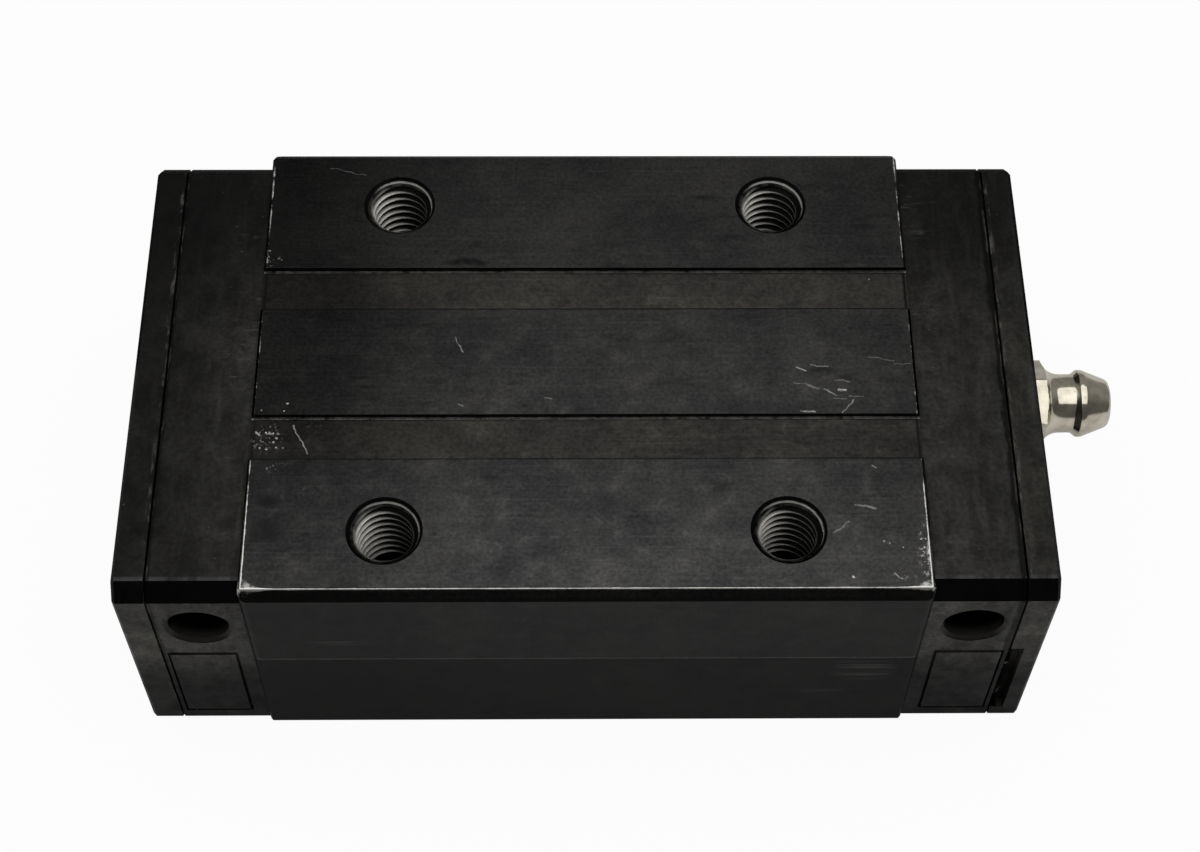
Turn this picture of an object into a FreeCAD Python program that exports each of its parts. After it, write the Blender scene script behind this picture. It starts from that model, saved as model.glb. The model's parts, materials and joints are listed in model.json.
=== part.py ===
import FreeCAD, Part
import math
import os

from FreeCAD import Vector

# Compact square guide block with recirculating balls, shown off its rail.
# Millimetres. X runs along the rail toward the grease nipple, Y across it and Z up.
# The origin is under the middle of the steel body, in the plane of its feet.
# Left and right are -X and +X; front and rear are -Y and +Y.

# How far a cut or a joined piece runs past the face it meets
CUT_PAST = 1.0

# Steel body
BODY_LENGTH = 59.6
BODY_WIDTH = 48.0
BODY_HEIGHT = 26.0
TOP_EDGE_CHAMFER = 0.85
END_EDGE_CHAMFER = 0.25
DATUM_BAND_HEIGHT = 12.0
SIDE_STEP = 0.3
FOOT_CHAMFER = 0.2
BODY_UPRIGHT_RADIUS = 0.8

# Two shallow grooves along the mounting face
CENTRE_LAND_WIDTH = 11.4
TOP_GROOVE_WIDTH = 4.55
TOP_GROOVE_DEPTH = 0.55

# Tapped mounting holes, drawn at the thread's outside diameter
HOLE_SPACING_X = 35.0
HOLE_SPACING_Y = 35.0
HOLE_DIAMETER = 6.0
HOLE_DEPTH = 10.0
HOLE_MOUTH_DIAMETER = 6.7

# Rail that the block runs on, and the channel around it
RAIL_WIDTH = 23.0
RAIL_TOP_HEIGHT = 11.0
CEILING_CLEARANCE = 1.0
BODY_SIDE_CLEARANCE = 1.3
CAP_SIDE_CLEARANCE = 0.6
BODY_CORNER_CHAMFER = 0.8
CAP_CORNER_CHAMFER = 0.4

# Balls and their four closed circuits
BALL_DIAMETER = 3.969
BALL_LEAST_GAP = 0.08
GROOVE_CONFORMITY = 0.52
ROW_SETBACK = 1.1
UPPER_ROW_HEIGHT = 9.0
LOWER_ROW_HEIGHT = 3.9
TURN_DIAMETER = 6.0
UPPER_TURN_TILT = 30.0
LOWER_TURN_TILT = 0.0
PASSAGE_CLEARANCE = 0.5
GUIDE_CLEARANCE = 0.08
GUIDE_FACETS = 6

# End caps
CAP_LENGTH = 8.2
CAP_SIDE_INSET = 0.6
CAP_TOP_DROP = 0.7
CAP_FOOT_GAP = 0.2
CAP_TOP_CHAMFER = 1.45
CAP_FOOT_CHAMFER = 0.4
CAP_OUTER_CHAMFER = 0.22

# Side lubrication ports: blind pilot holes with a chamfered mouth
SIDE_PORT_DIAMETER = 5.3
SIDE_PORT_MOUTH_CHAMFER = 0.35
SIDE_PORT_DEPTH = 3.0
SIDE_PORT_FROM_BODY = 4.2
SIDE_PORT_DROP = 6.8

# Raised label pads, bare
PAD_LENGTH = 5.8
PAD_HEIGHT = 11.5
PAD_RAISE = 0.12
PAD_FROM_BODY = 1.6
PAD_FOOT_HEIGHT = 2.5
PAD_GROOVE_WIDTH = 0.25
PAD_GROOVE_FOOT_WIDTH = 0.6
PAD_GROOVE_DEPTH = 0.35

# Central grease port and the oil grooves that lead from it to the turns
GREASE_PORT_DROP = 7.5
PORT_THREAD_DIAMETER = 6.0
OIL_GROOVE_WIDTH = 1.5
OIL_GROOVE_DEPTH = 1.0
THREAD_CLEARANCE = 0.1
THREAD_SIDES = 24

# End seals: a plate with a wiping lip in its opening
PLATE_THICKNESS = 2.8
PLATE_EDGE_CHAMFER = 0.3
PLATE_OPENING_CLEARANCE = 1.7
LIP_THICKNESS = 2.0
LIP_CLEARANCE = 0.1
LIP_NOSE_INSET = 0.15

# Notch that lets the seal plate be prised off the cap
PRISE_NOTCH_DEPTH = 1.0
PRISE_NOTCH_IN_CAP = 0.2
PRISE_NOTCH_IN_PLATE = 1.2
PRISE_NOTCH_FOOT = 2.0
PRISE_NOTCH_HEIGHT = 12.5

# Cheese-head screws through the seal plate and cap into the body, sunk in the plate
SCREW_DIAMETER = 3.0
SCREW_HEAD_DIAMETER = 5.5
SCREW_HEAD_SIDES = 24
SCREW_SHANK_SIDES = 12
SCREW_HEAD_HEIGHT = 1.6
SCREW_HEAD_SINK = 0.1
SCREW_HEAD_CLEARANCE = 0.15
SCREW_LENGTH = 16.0
SCREW_SPACING = 34.0
SCREW_DROP = 6.5
SCREW_CAP_CLEARANCE = 0.2
SCREW_HOLE_EXTRA_DEPTH = 2.0
CROSS_RECESS_WIDTH = 0.7
CROSS_RECESS_SPAN = 3.0
CROSS_RECESS_DEPTH = 1.0

# Ball retainers: slotted strips hooked into both caps
RETAINER_THICKNESS = 0.3
RETAINER_RAIL_GAP = 0.2
RETAINER_BALL_GAP = 0.02
RETAINER_EDGE = 0.7
RETAINER_HOOK = 1.5
RETAINER_HOOK_FROM_BODY = 6.0
RETAINER_SLOT_PAST_BODY = 3.9
RETAINER_MOUTH_EXTRA = 0.08
RETAINER_CAP_GAP = 0.1

# Bottom seals: strips let into the underside of each leg
BOTTOM_SEAL_OUTER_EDGE = 16.0
BOTTOM_SEAL_THICKNESS = 0.8
BOTTOM_SEAL_RECESS_DEPTH = 1.05
BOTTOM_SEAL_LIP_THICKNESS = 0.2
BOTTOM_SEAL_INTO_CAP = 7.0
BOTTOM_SEAL_GAP = 0.1
BOTTOM_SEAL_ROOF_GAP = 0.05

# Grease nipple
NIPPLE_HEX_FLATS = 7.0
NIPPLE_HEX_HEIGHT = 1.6
NIPPLE_BLANK_OVERSIZE = 0.05
NIPPLE_FLARE_END = 3.4
NIPPLE_NECK_DIAMETER = 5.45
NIPPLE_NECK_END = 4.4
NIPPLE_HEAD_DIAMETER = 6.25
NIPPLE_HEAD_START = 4.9
NIPPLE_HEAD_END = 5.4
NIPPLE_TIP_DIAMETER = 4.5
NIPPLE_TIP_BEVEL = 0.3
NIPPLE_PROJECTION = 7.85
NIPPLE_SHANK_LENGTH = 7.2
NIPPLE_BORE_DIAMETER = 2.7
NIPPLE_MOUTH_DIAMETER = 1.9
NIPPLE_LIP_LENGTH = 0.57
NIPPLE_SPRING_SEAT = 1.0
NIPPLE_FEED_DIAMETER = 1.6
CHECK_BALL_DIAMETER = 2.4
CHECK_BALL_SEAT_GAP = 0.03
SPRING_WIRE = 0.3
SPRING_COIL_DIAMETER = 1.9
SPRING_TURNS = 4
SPRING_BENDS_PER_TURN = 8
SPRING_END_GAP = 0.05

# Plug screw in the unused grease port
PLUG_LENGTH = 4.0
PLUG_SOCKET_FLATS = 3.0
PLUG_SOCKET_DEPTH = 2.2

# Places that follow from the sizes above
BODY_END = BODY_LENGTH / 2
CAP_END = BODY_END + CAP_LENGTH
PLATE_END = CAP_END + PLATE_THICKNESS
CAP_SIDE = BODY_WIDTH / 2 - CAP_SIDE_INSET
CAP_TOP = BODY_HEIGHT - CAP_TOP_DROP
CEILING = RAIL_TOP_HEIGHT + CEILING_CLEARANCE
GREASE_HEIGHT = BODY_HEIGHT - GREASE_PORT_DROP
SCREW_HEIGHT = BODY_HEIGHT - SCREW_DROP
ROW_OFFSET = RAIL_WIDTH / 2 + ROW_SETBACK
PASSAGE_RADIUS = (BALL_DIAMETER + PASSAGE_CLEARANCE) / 2
TURN_RADIUS = TURN_DIAMETER / 2
BODY_CHANNEL = RAIL_WIDTH / 2 + BODY_SIDE_CLEARANCE
CAP_CHANNEL = RAIL_WIDTH / 2 + CAP_SIDE_CLEARANCE
RETAINER_OUTER = RAIL_WIDTH / 2 + RETAINER_RAIL_GAP + RETAINER_THICKNESS
THREAD_RADIUS = PORT_THREAD_DIAMETER / 2 - THREAD_CLEARANCE

ENDS = {"left": -1, "right": 1}
SIDES = {"front": -1, "rear": 1}
ROWS = {
    "upper": (UPPER_ROW_HEIGHT, UPPER_TURN_TILT),
    "lower": (LOWER_ROW_HEIGHT, LOWER_TURN_TILT),
}


def box(x_range, y_range, z_range):
    """A block between two corners given as ranges."""
    sizes = [high - low for low, high in (x_range, y_range, z_range)]
    return Part.makeBox(*sizes, Vector(x_range[0], y_range[0], z_range[0]))


def across(side, inner, outer):
    """The Y range between two distances from the centre plane, on one side."""
    return (inner, outer) if side > 0 else (-outer, -inner)


def prism(points, start, end):
    """A cross-section given as (y, z) points, drawn out along X."""
    corners = [Vector(start, y, z) for y, z in points]
    face = Part.Face(Part.makePolygon(corners + corners[:1]))
    return face.extrude(Vector(end - start, 0, 0))


def rod(radius, start, end, y, z):
    """A round bar along X."""
    return Part.makeCylinder(radius, end - start, Vector(start, y, z), Vector(1, 0, 0))


def many_sided(radius, sides, start, end, y, z):
    """A bar along X with flat sides and its edges on a circle."""
    angles = [2 * math.pi * k / sides for k in range(sides)]
    return prism([(y + radius * math.cos(a), z + radius * math.sin(a)) for a in angles], start, end)


def turned(profile):
    """A solid turned about X from (x, radius) points that start and end on the axis."""
    corners = [Vector(x, 0, radius) for x, radius in profile]
    face = Part.Face(Part.makePolygon(corners + corners[:1]))
    return face.revolve(Vector(0, 0, 0), Vector(1, 0, 0), 360)


def flat_faced(outlines):
    """A solid closed by flat faces, each given by its corners in order."""
    faces = [Part.Face(Part.makePolygon(list(corners) + [corners[0]])) for corners in outlines]
    return Part.makeSolid(Part.makeShell(faces))


def hexagon(flats, start, end):
    """A six-sided bar along X with a corner pointing up."""
    radius = flats / math.sqrt(3)
    angles = [math.radians(30 + 60 * k) for k in range(6)]
    return prism([(radius * math.cos(a), radius * math.sin(a)) for a in angles], start, end)


def turned_round(shape):
    """The same piece turned half a turn about Z, for the left end."""
    other = shape.copy()
    other.rotate(Vector(0, 0, 0), Vector(0, 0, 1), 180)
    return other


def placed(shape, x, y, z):
    """A copy of a shape moved by the given distances."""
    other = shape.copy()
    other.translate(Vector(x, y, z))
    return other


def row_centre(side, height):
    """Centre of a load row of balls, at mid-length."""
    return Vector(0, side * ROW_OFFSET, height)


def return_centre(side, height, tilt):
    """Centre of the bore that carries the same balls back."""
    angle = math.radians(tilt)
    step = Vector(0, side * math.cos(angle), math.sin(angle))
    return row_centre(side, height) + step * TURN_DIAMETER


def circuits():
    """Side, row height and turn tilt of each of the four circuits, with its name."""
    for side_name, side in SIDES.items():
        for row_name, (height, tilt) in ROWS.items():
            yield side_name + "_" + row_name, side, height, tilt


def turn_place(side, height, tilt, end):
    """Place of a turn: its X runs from load row to return bore, its Y outward, Z is its axle."""
    load = row_centre(side, height)
    back = return_centre(side, height, tilt)
    along = (back - load).normalize()
    outward = Vector(end, 0, 0)
    axle = along.cross(outward)
    middle = (load + back) * 0.5 + outward * BODY_END
    return FreeCAD.Placement(FreeCAD.Matrix(
        along.x, outward.x, axle.x, middle.x,
        along.y, outward.y, axle.y, middle.y,
        along.z, outward.z, axle.z, middle.z,
        0, 0, 0, 1))


def turn_pocket():
    """Room for one turn in an end cap: the passage's outer wall and cheeks, and its guide."""
    reach = TURN_RADIUS + PASSAGE_RADIUS
    half = PASSAGE_RADIUS
    return Part.makeCylinder(reach, 2 * half, Vector(0, 0, -half), Vector(0, 0, 1), 180)


def return_guide():
    """Half spool that forms the inner wall of one turn, with a hollow for the balls."""
    half = PASSAGE_RADIUS - GUIDE_CLEARANCE
    throat = TURN_RADIUS - PASSAGE_RADIUS
    flat = PASSAGE_RADIUS * math.tan(math.pi / 8)
    flange = throat + half - flat
    angles = [math.pi * k / GUIDE_FACETS for k in range(GUIDE_FACETS + 1)]
    rings = []
    for radius, height in ((flange, -half), (throat, -flat), (throat, flat), (flange, half)):
        rings.append([Vector(radius * math.cos(a), radius * math.sin(a), height) for a in angles])
    outlines = [rings[0], rings[-1]]
    for low, high in zip(rings, rings[1:]):
        for k in range(len(angles)):
            outlines.append((low[k - 1], low[k], high[k], high[k - 1]))
    return flat_faced(outlines)


def channel(half_width, bevel, start, end):
    """Room for the rail, open below, with broken upper corners."""
    return prism([
        (-half_width, -CUT_PAST),
        (half_width, -CUT_PAST),
        (half_width, CEILING - bevel),
        (half_width - bevel, CEILING),
        (bevel - half_width, CEILING),
        (-half_width, CEILING - bevel),
    ], start, end)


def mounting_hole(x, y):
    """Drilled hole with a chamfered mouth, at the top face."""
    radius = HOLE_DIAMETER / 2
    mouth = HOLE_MOUTH_DIAMETER / 2
    chamfer = mouth - radius
    bore = Part.makeCylinder(radius, HOLE_DEPTH, Vector(x, y, BODY_HEIGHT - HOLE_DEPTH))
    sink = Part.makeCone(radius, mouth, chamfer, Vector(x, y, BODY_HEIGHT - chamfer))
    return bore.fuse(sink)


def screw_places():
    """Y of the two screws at each end."""
    return (-SCREW_SPACING / 2, SCREW_SPACING / 2)


def screw_seat():
    """X of the face in the right seal plate that the screw heads bear on."""
    return PLATE_END - SCREW_HEAD_SINK - SCREW_HEAD_HEIGHT


def block_body():
    """Steel body: ground outline, rail channel, ball grooves, return bores and tapped holes."""
    half = BODY_WIDTH / 2
    lower = half - SIDE_STEP
    step = BODY_HEIGHT - DATUM_BAND_HEIGHT
    outline = [
        (half - TOP_EDGE_CHAMFER, BODY_HEIGHT),
        (half, BODY_HEIGHT - TOP_EDGE_CHAMFER),
        (half, step),
        (lower, step - SIDE_STEP),
        (lower, FOOT_CHAMFER),
        (lower - FOOT_CHAMFER, 0),
    ]
    body = prism(outline + [(-y, z) for y, z in reversed(outline)], -BODY_END, BODY_END)
    end_edges = [
        edge for edge in body.Edges
        if abs(abs(edge.CenterOfMass.x) - BODY_END) < 1e-6
    ]
    body = body.makeChamfer(END_EDGE_CHAMFER, end_edges)
    footprint = box((-BODY_END, BODY_END), (-half, half), (0, BODY_HEIGHT))
    uprights = [edge for edge in footprint.Edges if abs(edge.tangentAt(0).z) > 0.9]
    body = body.common(footprint.makeFillet(BODY_UPRIGHT_RADIUS, uprights))

    cuts = [channel(BODY_CHANNEL, BODY_CORNER_CHAMFER, -BODY_END - CUT_PAST, BODY_END + CUT_PAST)]
    groove_radius = BALL_DIAMETER * GROOVE_CONFORMITY
    for _, side, height, tilt in circuits():
        load = row_centre(side, height)
        back = return_centre(side, height, tilt)
        cuts.append(rod(groove_radius, -BODY_END - CUT_PAST, BODY_END + CUT_PAST, load.y, load.z))
        cuts.append(rod(PASSAGE_RADIUS, -BODY_END - CUT_PAST, BODY_END + CUT_PAST, back.y, back.z))
    whole_length = (-BODY_END - CUT_PAST, BODY_END + CUT_PAST)
    inner = CENTRE_LAND_WIDTH / 2
    for side in SIDES.values():
        groove = across(side, inner, inner + TOP_GROOVE_WIDTH)
        cuts.append(box(whole_length, groove, (BODY_HEIGHT - TOP_GROOVE_DEPTH, BODY_HEIGHT + CUT_PAST)))
        recess = across(side, BODY_CHANNEL - CUT_PAST, BOTTOM_SEAL_OUTER_EDGE + BOTTOM_SEAL_GAP)
        cuts.append(box(whole_length, recess, (-CUT_PAST, BOTTOM_SEAL_RECESS_DEPTH)))
    for x in (-HOLE_SPACING_X / 2, HOLE_SPACING_X / 2):
        for y in (-HOLE_SPACING_Y / 2, HOLE_SPACING_Y / 2):
            cuts.append(mounting_hole(x, y))
    depth = screw_seat() - SCREW_LENGTH - SCREW_HOLE_EXTRA_DEPTH
    for end in ENDS.values():
        for y in screw_places():
            start, stop = sorted((end * depth, end * (BODY_END + CUT_PAST)))
            cuts.append(many_sided(SCREW_DIAMETER / 2, SCREW_SHANK_SIDES, start, stop, y, SCREW_HEIGHT))
    return body.cut(cuts)


def end_blank(start, end):
    """Outline shared by the caps and the seal plates."""
    side = CAP_SIDE
    outline = [
        (side - CAP_TOP_CHAMFER, CAP_TOP),
        (side, CAP_TOP - CAP_TOP_CHAMFER),
        (side, CAP_FOOT_GAP + CAP_FOOT_CHAMFER),
        (side - CAP_FOOT_CHAMFER, CAP_FOOT_GAP),
    ]
    return prism(outline + [(-y, z) for y, z in reversed(outline)], start, end)


def edges_at(shape, x):
    """Edges of a shape that lie in the plane across X."""
    return [
        edge for edge in shape.Edges
        if abs(edge.BoundBox.XMin - x) < 1e-6 and abs(edge.BoundBox.XMax - x) < 1e-6
    ]


def side_port(side):
    """Blind pilot hole in the side of a cap, with a chamfered mouth."""
    radius = SIDE_PORT_DIAMETER / 2
    chamfer = SIDE_PORT_MOUTH_CHAMFER
    inward = Vector(0, -side, 0)
    mouth = Vector(BODY_END + SIDE_PORT_FROM_BODY, side * CAP_SIDE, BODY_HEIGHT - SIDE_PORT_DROP)
    hole = Part.makeCylinder(radius, SIDE_PORT_DEPTH, mouth, inward)
    return hole.fuse(Part.makeCone(radius + chamfer, radius, chamfer, mouth, inward))


def label_pad(side):
    """Raised bare pad low on the side of a cap."""
    start = BODY_END + PAD_FROM_BODY
    return box(
        (start, start + PAD_LENGTH),
        across(side, CAP_SIDE - CUT_PAST, CAP_SIDE + PAD_RAISE),
        (PAD_FOOT_HEIGHT, PAD_FOOT_HEIGHT + PAD_HEIGHT))


def pad_groove(side):
    """Shallow groove that frames the bare pad, wider along its foot."""
    start = BODY_END + PAD_FROM_BODY
    room = box(
        (start - PAD_GROOVE_WIDTH, start + PAD_LENGTH + PAD_GROOVE_WIDTH),
        across(side, CAP_SIDE - PAD_GROOVE_DEPTH, CAP_SIDE + CUT_PAST),
        (PAD_FOOT_HEIGHT - PAD_GROOVE_FOOT_WIDTH, PAD_FOOT_HEIGHT + PAD_HEIGHT + PAD_GROOVE_WIDTH))
    return room.cut(label_pad(side))


def prise_notch(start, end):
    """Notch across the joint of cap and seal plate, on one side only."""
    return box(
        (start, end),
        across(-1, CAP_SIDE - PRISE_NOTCH_DEPTH, CAP_SIDE + CUT_PAST),
        (PRISE_NOTCH_FOOT, PRISE_NOTCH_FOOT + PRISE_NOTCH_HEIGHT))


def oil_groove(side):
    """Groove on the inner face of a cap, from the grease port to the upper turn."""
    target = return_centre(side, *ROWS["upper"])
    run = math.hypot(target.y, target.z - GREASE_HEIGHT)
    groove = box(
        (BODY_END, BODY_END + OIL_GROOVE_DEPTH),
        (0, run),
        (-OIL_GROOVE_WIDTH / 2, OIL_GROOVE_WIDTH / 2))
    slope = math.degrees(math.atan2(target.z - GREASE_HEIGHT, target.y))
    groove.rotate(Vector(0, 0, 0), Vector(1, 0, 0), slope)
    return placed(groove, 0, 0, GREASE_HEIGHT)


def end_cap():
    """Right end cap; the left one is the same moulding turned round."""
    cap = end_blank(BODY_END, CAP_END)
    cap = cap.makeChamfer(CAP_OUTER_CHAMFER, edges_at(cap, CAP_END))
    cap = cap.cut([pad_groove(side) for side in SIDES.values()])
    cap = cap.fuse([label_pad(side) for side in SIDES.values()])

    through = (BODY_END - CUT_PAST, CAP_END + CUT_PAST)
    cuts = [
        channel(CAP_CHANNEL, CAP_CORNER_CHAMFER, *through),
        rod(PORT_THREAD_DIAMETER / 2, *through, 0, GREASE_HEIGHT),
        prise_notch(CAP_END - PRISE_NOTCH_IN_CAP, CAP_END + CUT_PAST),
    ]
    hook_end = BODY_END + RETAINER_HOOK_FROM_BODY + RETAINER_CAP_GAP
    hook_start = hook_end - RETAINER_THICKNESS - 2 * RETAINER_CAP_GAP
    hook_reach = RETAINER_OUTER - RETAINER_THICKNESS + RETAINER_HOOK + RETAINER_CAP_GAP
    hook_low, hook_high = retainer_heights()
    for side in SIDES.values():
        cuts.append(side_port(side))
        cuts.append(oil_groove(side))
        cuts.append(box(
            (hook_start, hook_end),
            across(side, CAP_CHANNEL - CUT_PAST, hook_reach),
            (hook_low - RETAINER_CAP_GAP, hook_high + RETAINER_CAP_GAP)))
        cuts.append(box(
            (BODY_END - CUT_PAST, BODY_END + BOTTOM_SEAL_INTO_CAP + BOTTOM_SEAL_GAP),
            across(side, CAP_CHANNEL - CUT_PAST, BOTTOM_SEAL_OUTER_EDGE + BOTTOM_SEAL_GAP),
            (-CUT_PAST, BOTTOM_SEAL_RECESS_DEPTH)))
    for y in screw_places():
        radius = SCREW_DIAMETER / 2 + SCREW_CAP_CLEARANCE
        cuts.append(many_sided(radius, SCREW_SHANK_SIDES, *through, y, SCREW_HEIGHT))
    for _, side, height, tilt in circuits():
        pocket = turn_pocket()
        pocket.Placement = turn_place(side, height, tilt, 1)
        cuts.append(pocket)
    return cap.cut(cuts)


def opening_half_width():
    """Half width of the seal plate's opening."""
    return RAIL_WIDTH / 2 + PLATE_OPENING_CLEARANCE


def end_seal_plate():
    """Right seal plate; the left one is the same piece turned round."""
    plate = end_blank(CAP_END, PLATE_END)
    plate = plate.makeChamfer(PLATE_EDGE_CHAMFER, edges_at(plate, PLATE_END))
    half = opening_half_width()
    roof = RAIL_TOP_HEIGHT + PLATE_OPENING_CLEARANCE
    through = (CAP_END - CUT_PAST, PLATE_END + CUT_PAST)
    passage = PORT_THREAD_DIAMETER / 2 + THREAD_CLEARANCE
    cuts = [
        box(through, (-half, half), (-CUT_PAST, roof)),
        rod(passage, *through, 0, GREASE_HEIGHT),
        prise_notch(CAP_END - CUT_PAST, CAP_END + PRISE_NOTCH_IN_PLATE),
    ]
    for y in screw_places():
        hole = SCREW_DIAMETER / 2 + SCREW_CAP_CLEARANCE
        well = SCREW_HEAD_DIAMETER / 2 + SCREW_HEAD_CLEARANCE
        cuts.append(many_sided(hole, SCREW_SHANK_SIDES, *through, y, SCREW_HEIGHT))
        cuts.append(many_sided(well, SCREW_HEAD_SIDES, screw_seat(), PLATE_END + CUT_PAST, y, SCREW_HEIGHT))
    return plate.cut(cuts)


def end_seal_lip():
    """Wiping lip that follows the rail's section, with noses for the rail's ball grooves."""
    start = (CAP_END + PLATE_END - LIP_THICKNESS) / 2
    end = start + LIP_THICKNESS
    half = opening_half_width()
    roof = RAIL_TOP_HEIGHT + PLATE_OPENING_CLEARANCE
    inner = RAIL_WIDTH / 2 + LIP_CLEARANCE
    opening = box((start, end), (-half, half), (CAP_FOOT_GAP, roof))
    rail_top = RAIL_TOP_HEIGHT + LIP_CLEARANCE
    rail = box((start - CUT_PAST, end + CUT_PAST), (-inner, inner), (-CUT_PAST, rail_top))
    nose_radius = BALL_DIAMETER * GROOVE_CONFORMITY - LIP_NOSE_INSET
    noses = []
    for _, side, height, _ in circuits():
        load = row_centre(side, height)
        noses.append(rod(nose_radius, start, end, load.y, load.z))
    return opening.cut(rail).fuse(noses).common(opening).removeSplitter()


def ball(diameter):
    """A ball as twenty equal flat faces, with all corners on the ball's surface."""
    radius = diameter / 2
    height = radius / math.sqrt(5)
    top = Vector(0, 0, radius)
    bottom = Vector(0, 0, -radius)
    upper = []
    lower = []
    for k in range(5):
        angle = 2 * math.pi * k / 5
        upper.append(Vector(2 * height * math.cos(angle), 2 * height * math.sin(angle), height))
        lower.append(upper[-1] * -1)
    outlines = []
    for k in range(5):
        outlines.append((top, upper[k - 1], upper[k]))
        outlines.append((bottom, lower[k], lower[k - 1]))
        outlines.append((upper[k - 1], lower[k - 3], upper[k]))
        outlines.append((lower[k], upper[k - 3], lower[k - 1]))
    return flat_faced(outlines)


def circuit_point(distance, side, height, tilt):
    """Place on a closed circuit at a distance along it from the left end of the load row."""
    load = row_centre(side, height)
    back = return_centre(side, height, tilt)
    middle = (load + back) * 0.5
    reach = (back - load) * 0.5
    turn = math.pi * TURN_RADIUS
    if distance < BODY_LENGTH:
        return load + Vector(distance - BODY_END, 0, 0)
    distance -= BODY_LENGTH
    if distance < turn:
        angle = distance / TURN_RADIUS
        step = reach * -math.cos(angle)
        return middle + step + Vector(BODY_END + TURN_RADIUS * math.sin(angle), 0, 0)
    distance -= turn
    if distance < BODY_LENGTH:
        return back + Vector(BODY_END - distance, 0, 0)
    angle = (distance - BODY_LENGTH) / TURN_RADIUS
    step = reach * math.cos(angle)
    return middle + step - Vector(BODY_END + TURN_RADIUS * math.sin(angle), 0, 0)


def ball_circuit(side, height, tilt):
    """All balls of one circuit, evenly spread round it."""
    length = 2 * BODY_LENGTH + 2 * math.pi * TURN_RADIUS
    count = int(length / (BALL_DIAMETER + BALL_LEAST_GAP))
    one = ball(BALL_DIAMETER)
    balls = []
    for k in range(count):
        place = circuit_point((k + 0.5) * length / count, side, height, tilt)
        balls.append(placed(one, place.x, place.y, place.z))
    return Part.makeCompound(balls)


def retainer_slot_half_height():
    """Half height of a slot that a ball looks through but can't pass."""
    setback = ROW_OFFSET - RETAINER_OUTER
    return math.sqrt((BALL_DIAMETER / 2) ** 2 - setback ** 2) + RETAINER_BALL_GAP


def retainer_heights():
    """Lower and upper edge of a retainer strip."""
    half = retainer_slot_half_height() + RETAINER_EDGE
    return LOWER_ROW_HEIGHT - half, UPPER_ROW_HEIGHT + half


def ball_retainer(side):
    """Strip with an outward hook at each end and a long slot for each row, wider at its mouths."""
    reach = BODY_END + RETAINER_HOOK_FROM_BODY
    low, high = retainer_heights()
    inner = RETAINER_OUTER - RETAINER_THICKNESS
    strip = box((-reach, reach), across(side, inner, RETAINER_OUTER), (low, high))
    hooks = []
    for end in ENDS.values():
        start, stop = sorted((end * (reach - RETAINER_THICKNESS), end * reach))
        hooks.append(box((start, stop), across(side, inner, inner + RETAINER_HOOK), (low, high)))
    strip = strip.fuse(hooks)
    slot = BODY_END + RETAINER_SLOT_PAST_BODY
    half = retainer_slot_half_height()
    mouth = half + RETAINER_MOUTH_EXTRA
    depth = across(side, inner - CUT_PAST, RETAINER_OUTER + CUT_PAST)
    slots = []
    for height, _ in ROWS.values():
        slots.append(box((-slot, slot), depth, (height - half, height + half)))
        for start, stop in ((-slot, -BODY_END), (BODY_END, slot)):
            slots.append(box((start, stop), depth, (height - mouth, height + mouth)))
    return strip.cut(slots).removeSplitter()


def bottom_seal(side):
    """Strip under a leg with a thin lip that reaches toward the rail."""
    top = BOTTOM_SEAL_RECESS_DEPTH - BOTTOM_SEAL_ROOF_GAP
    low = top - BOTTOM_SEAL_THICKNESS
    tip = RAIL_WIDTH / 2 + LIP_CLEARANCE
    root = BODY_CHANNEL + BOTTOM_SEAL_GAP
    points = [
        (BOTTOM_SEAL_OUTER_EDGE, low),
        (BOTTOM_SEAL_OUTER_EDGE, top),
        (root, top),
        (tip, top),
        (tip, top - BOTTOM_SEAL_LIP_THICKNESS),
        (root, low),
    ]
    reach = BODY_END + BOTTOM_SEAL_INTO_CAP
    return prism([(side * y, z) for y, z in points], -reach, reach)


def end_screw(y):
    """One cheese-head screw of the right end, with a cross recess."""
    seat = screw_seat()
    face = seat + SCREW_HEAD_HEIGHT
    shank = SCREW_DIAMETER / 2 - THREAD_CLEARANCE
    head = many_sided(SCREW_HEAD_DIAMETER / 2, SCREW_HEAD_SIDES, seat, face, y, SCREW_HEIGHT)
    stem = many_sided(shank, SCREW_SHANK_SIDES, seat - SCREW_LENGTH, seat, y, SCREW_HEIGHT)
    screw = head.fuse(stem)
    depth = (face - CROSS_RECESS_DEPTH, face + CUT_PAST)
    narrow = CROSS_RECESS_WIDTH / 2
    wide = CROSS_RECESS_SPAN / 2
    cross = [
        box(depth, (y - wide, y + wide), (SCREW_HEIGHT - narrow, SCREW_HEIGHT + narrow)),
        box(depth, (y - narrow, y + narrow), (SCREW_HEIGHT - wide, SCREW_HEIGHT + wide)),
    ]
    return screw.cut(cross)


def end_screws():
    """All four screws, two at each end."""
    right = [end_screw(y) for y in screw_places()]
    return Part.makeCompound(right + [turned_round(screw) for screw in right])


def check_ball_place():
    """Distance of the closed check ball's centre from the nipple's seat on the plate."""
    seat = NIPPLE_PROJECTION - NIPPLE_LIP_LENGTH
    radius = CHECK_BALL_DIAMETER / 2
    mouth = NIPPLE_MOUTH_DIAMETER / 2
    return seat - math.sqrt(radius ** 2 - mouth ** 2) - CHECK_BALL_SEAT_GAP


def nipple_flare(steps):
    """Hollow quarter-round from the corners of the hexagon down to the neck."""
    top = NIPPLE_HEX_FLATS / math.sqrt(3) + NIPPLE_BLANK_OVERSIZE
    neck = NIPPLE_NECK_DIAMETER / 2
    width = NIPPLE_FLARE_END - NIPPLE_HEX_HEIGHT
    height = top - neck
    points = []
    for k in range(steps + 1):
        angle = math.pi / 2 * k / steps
        points.append((
            NIPPLE_FLARE_END - width * math.cos(angle),
            top - height * math.sin(angle)))
    return points


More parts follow.
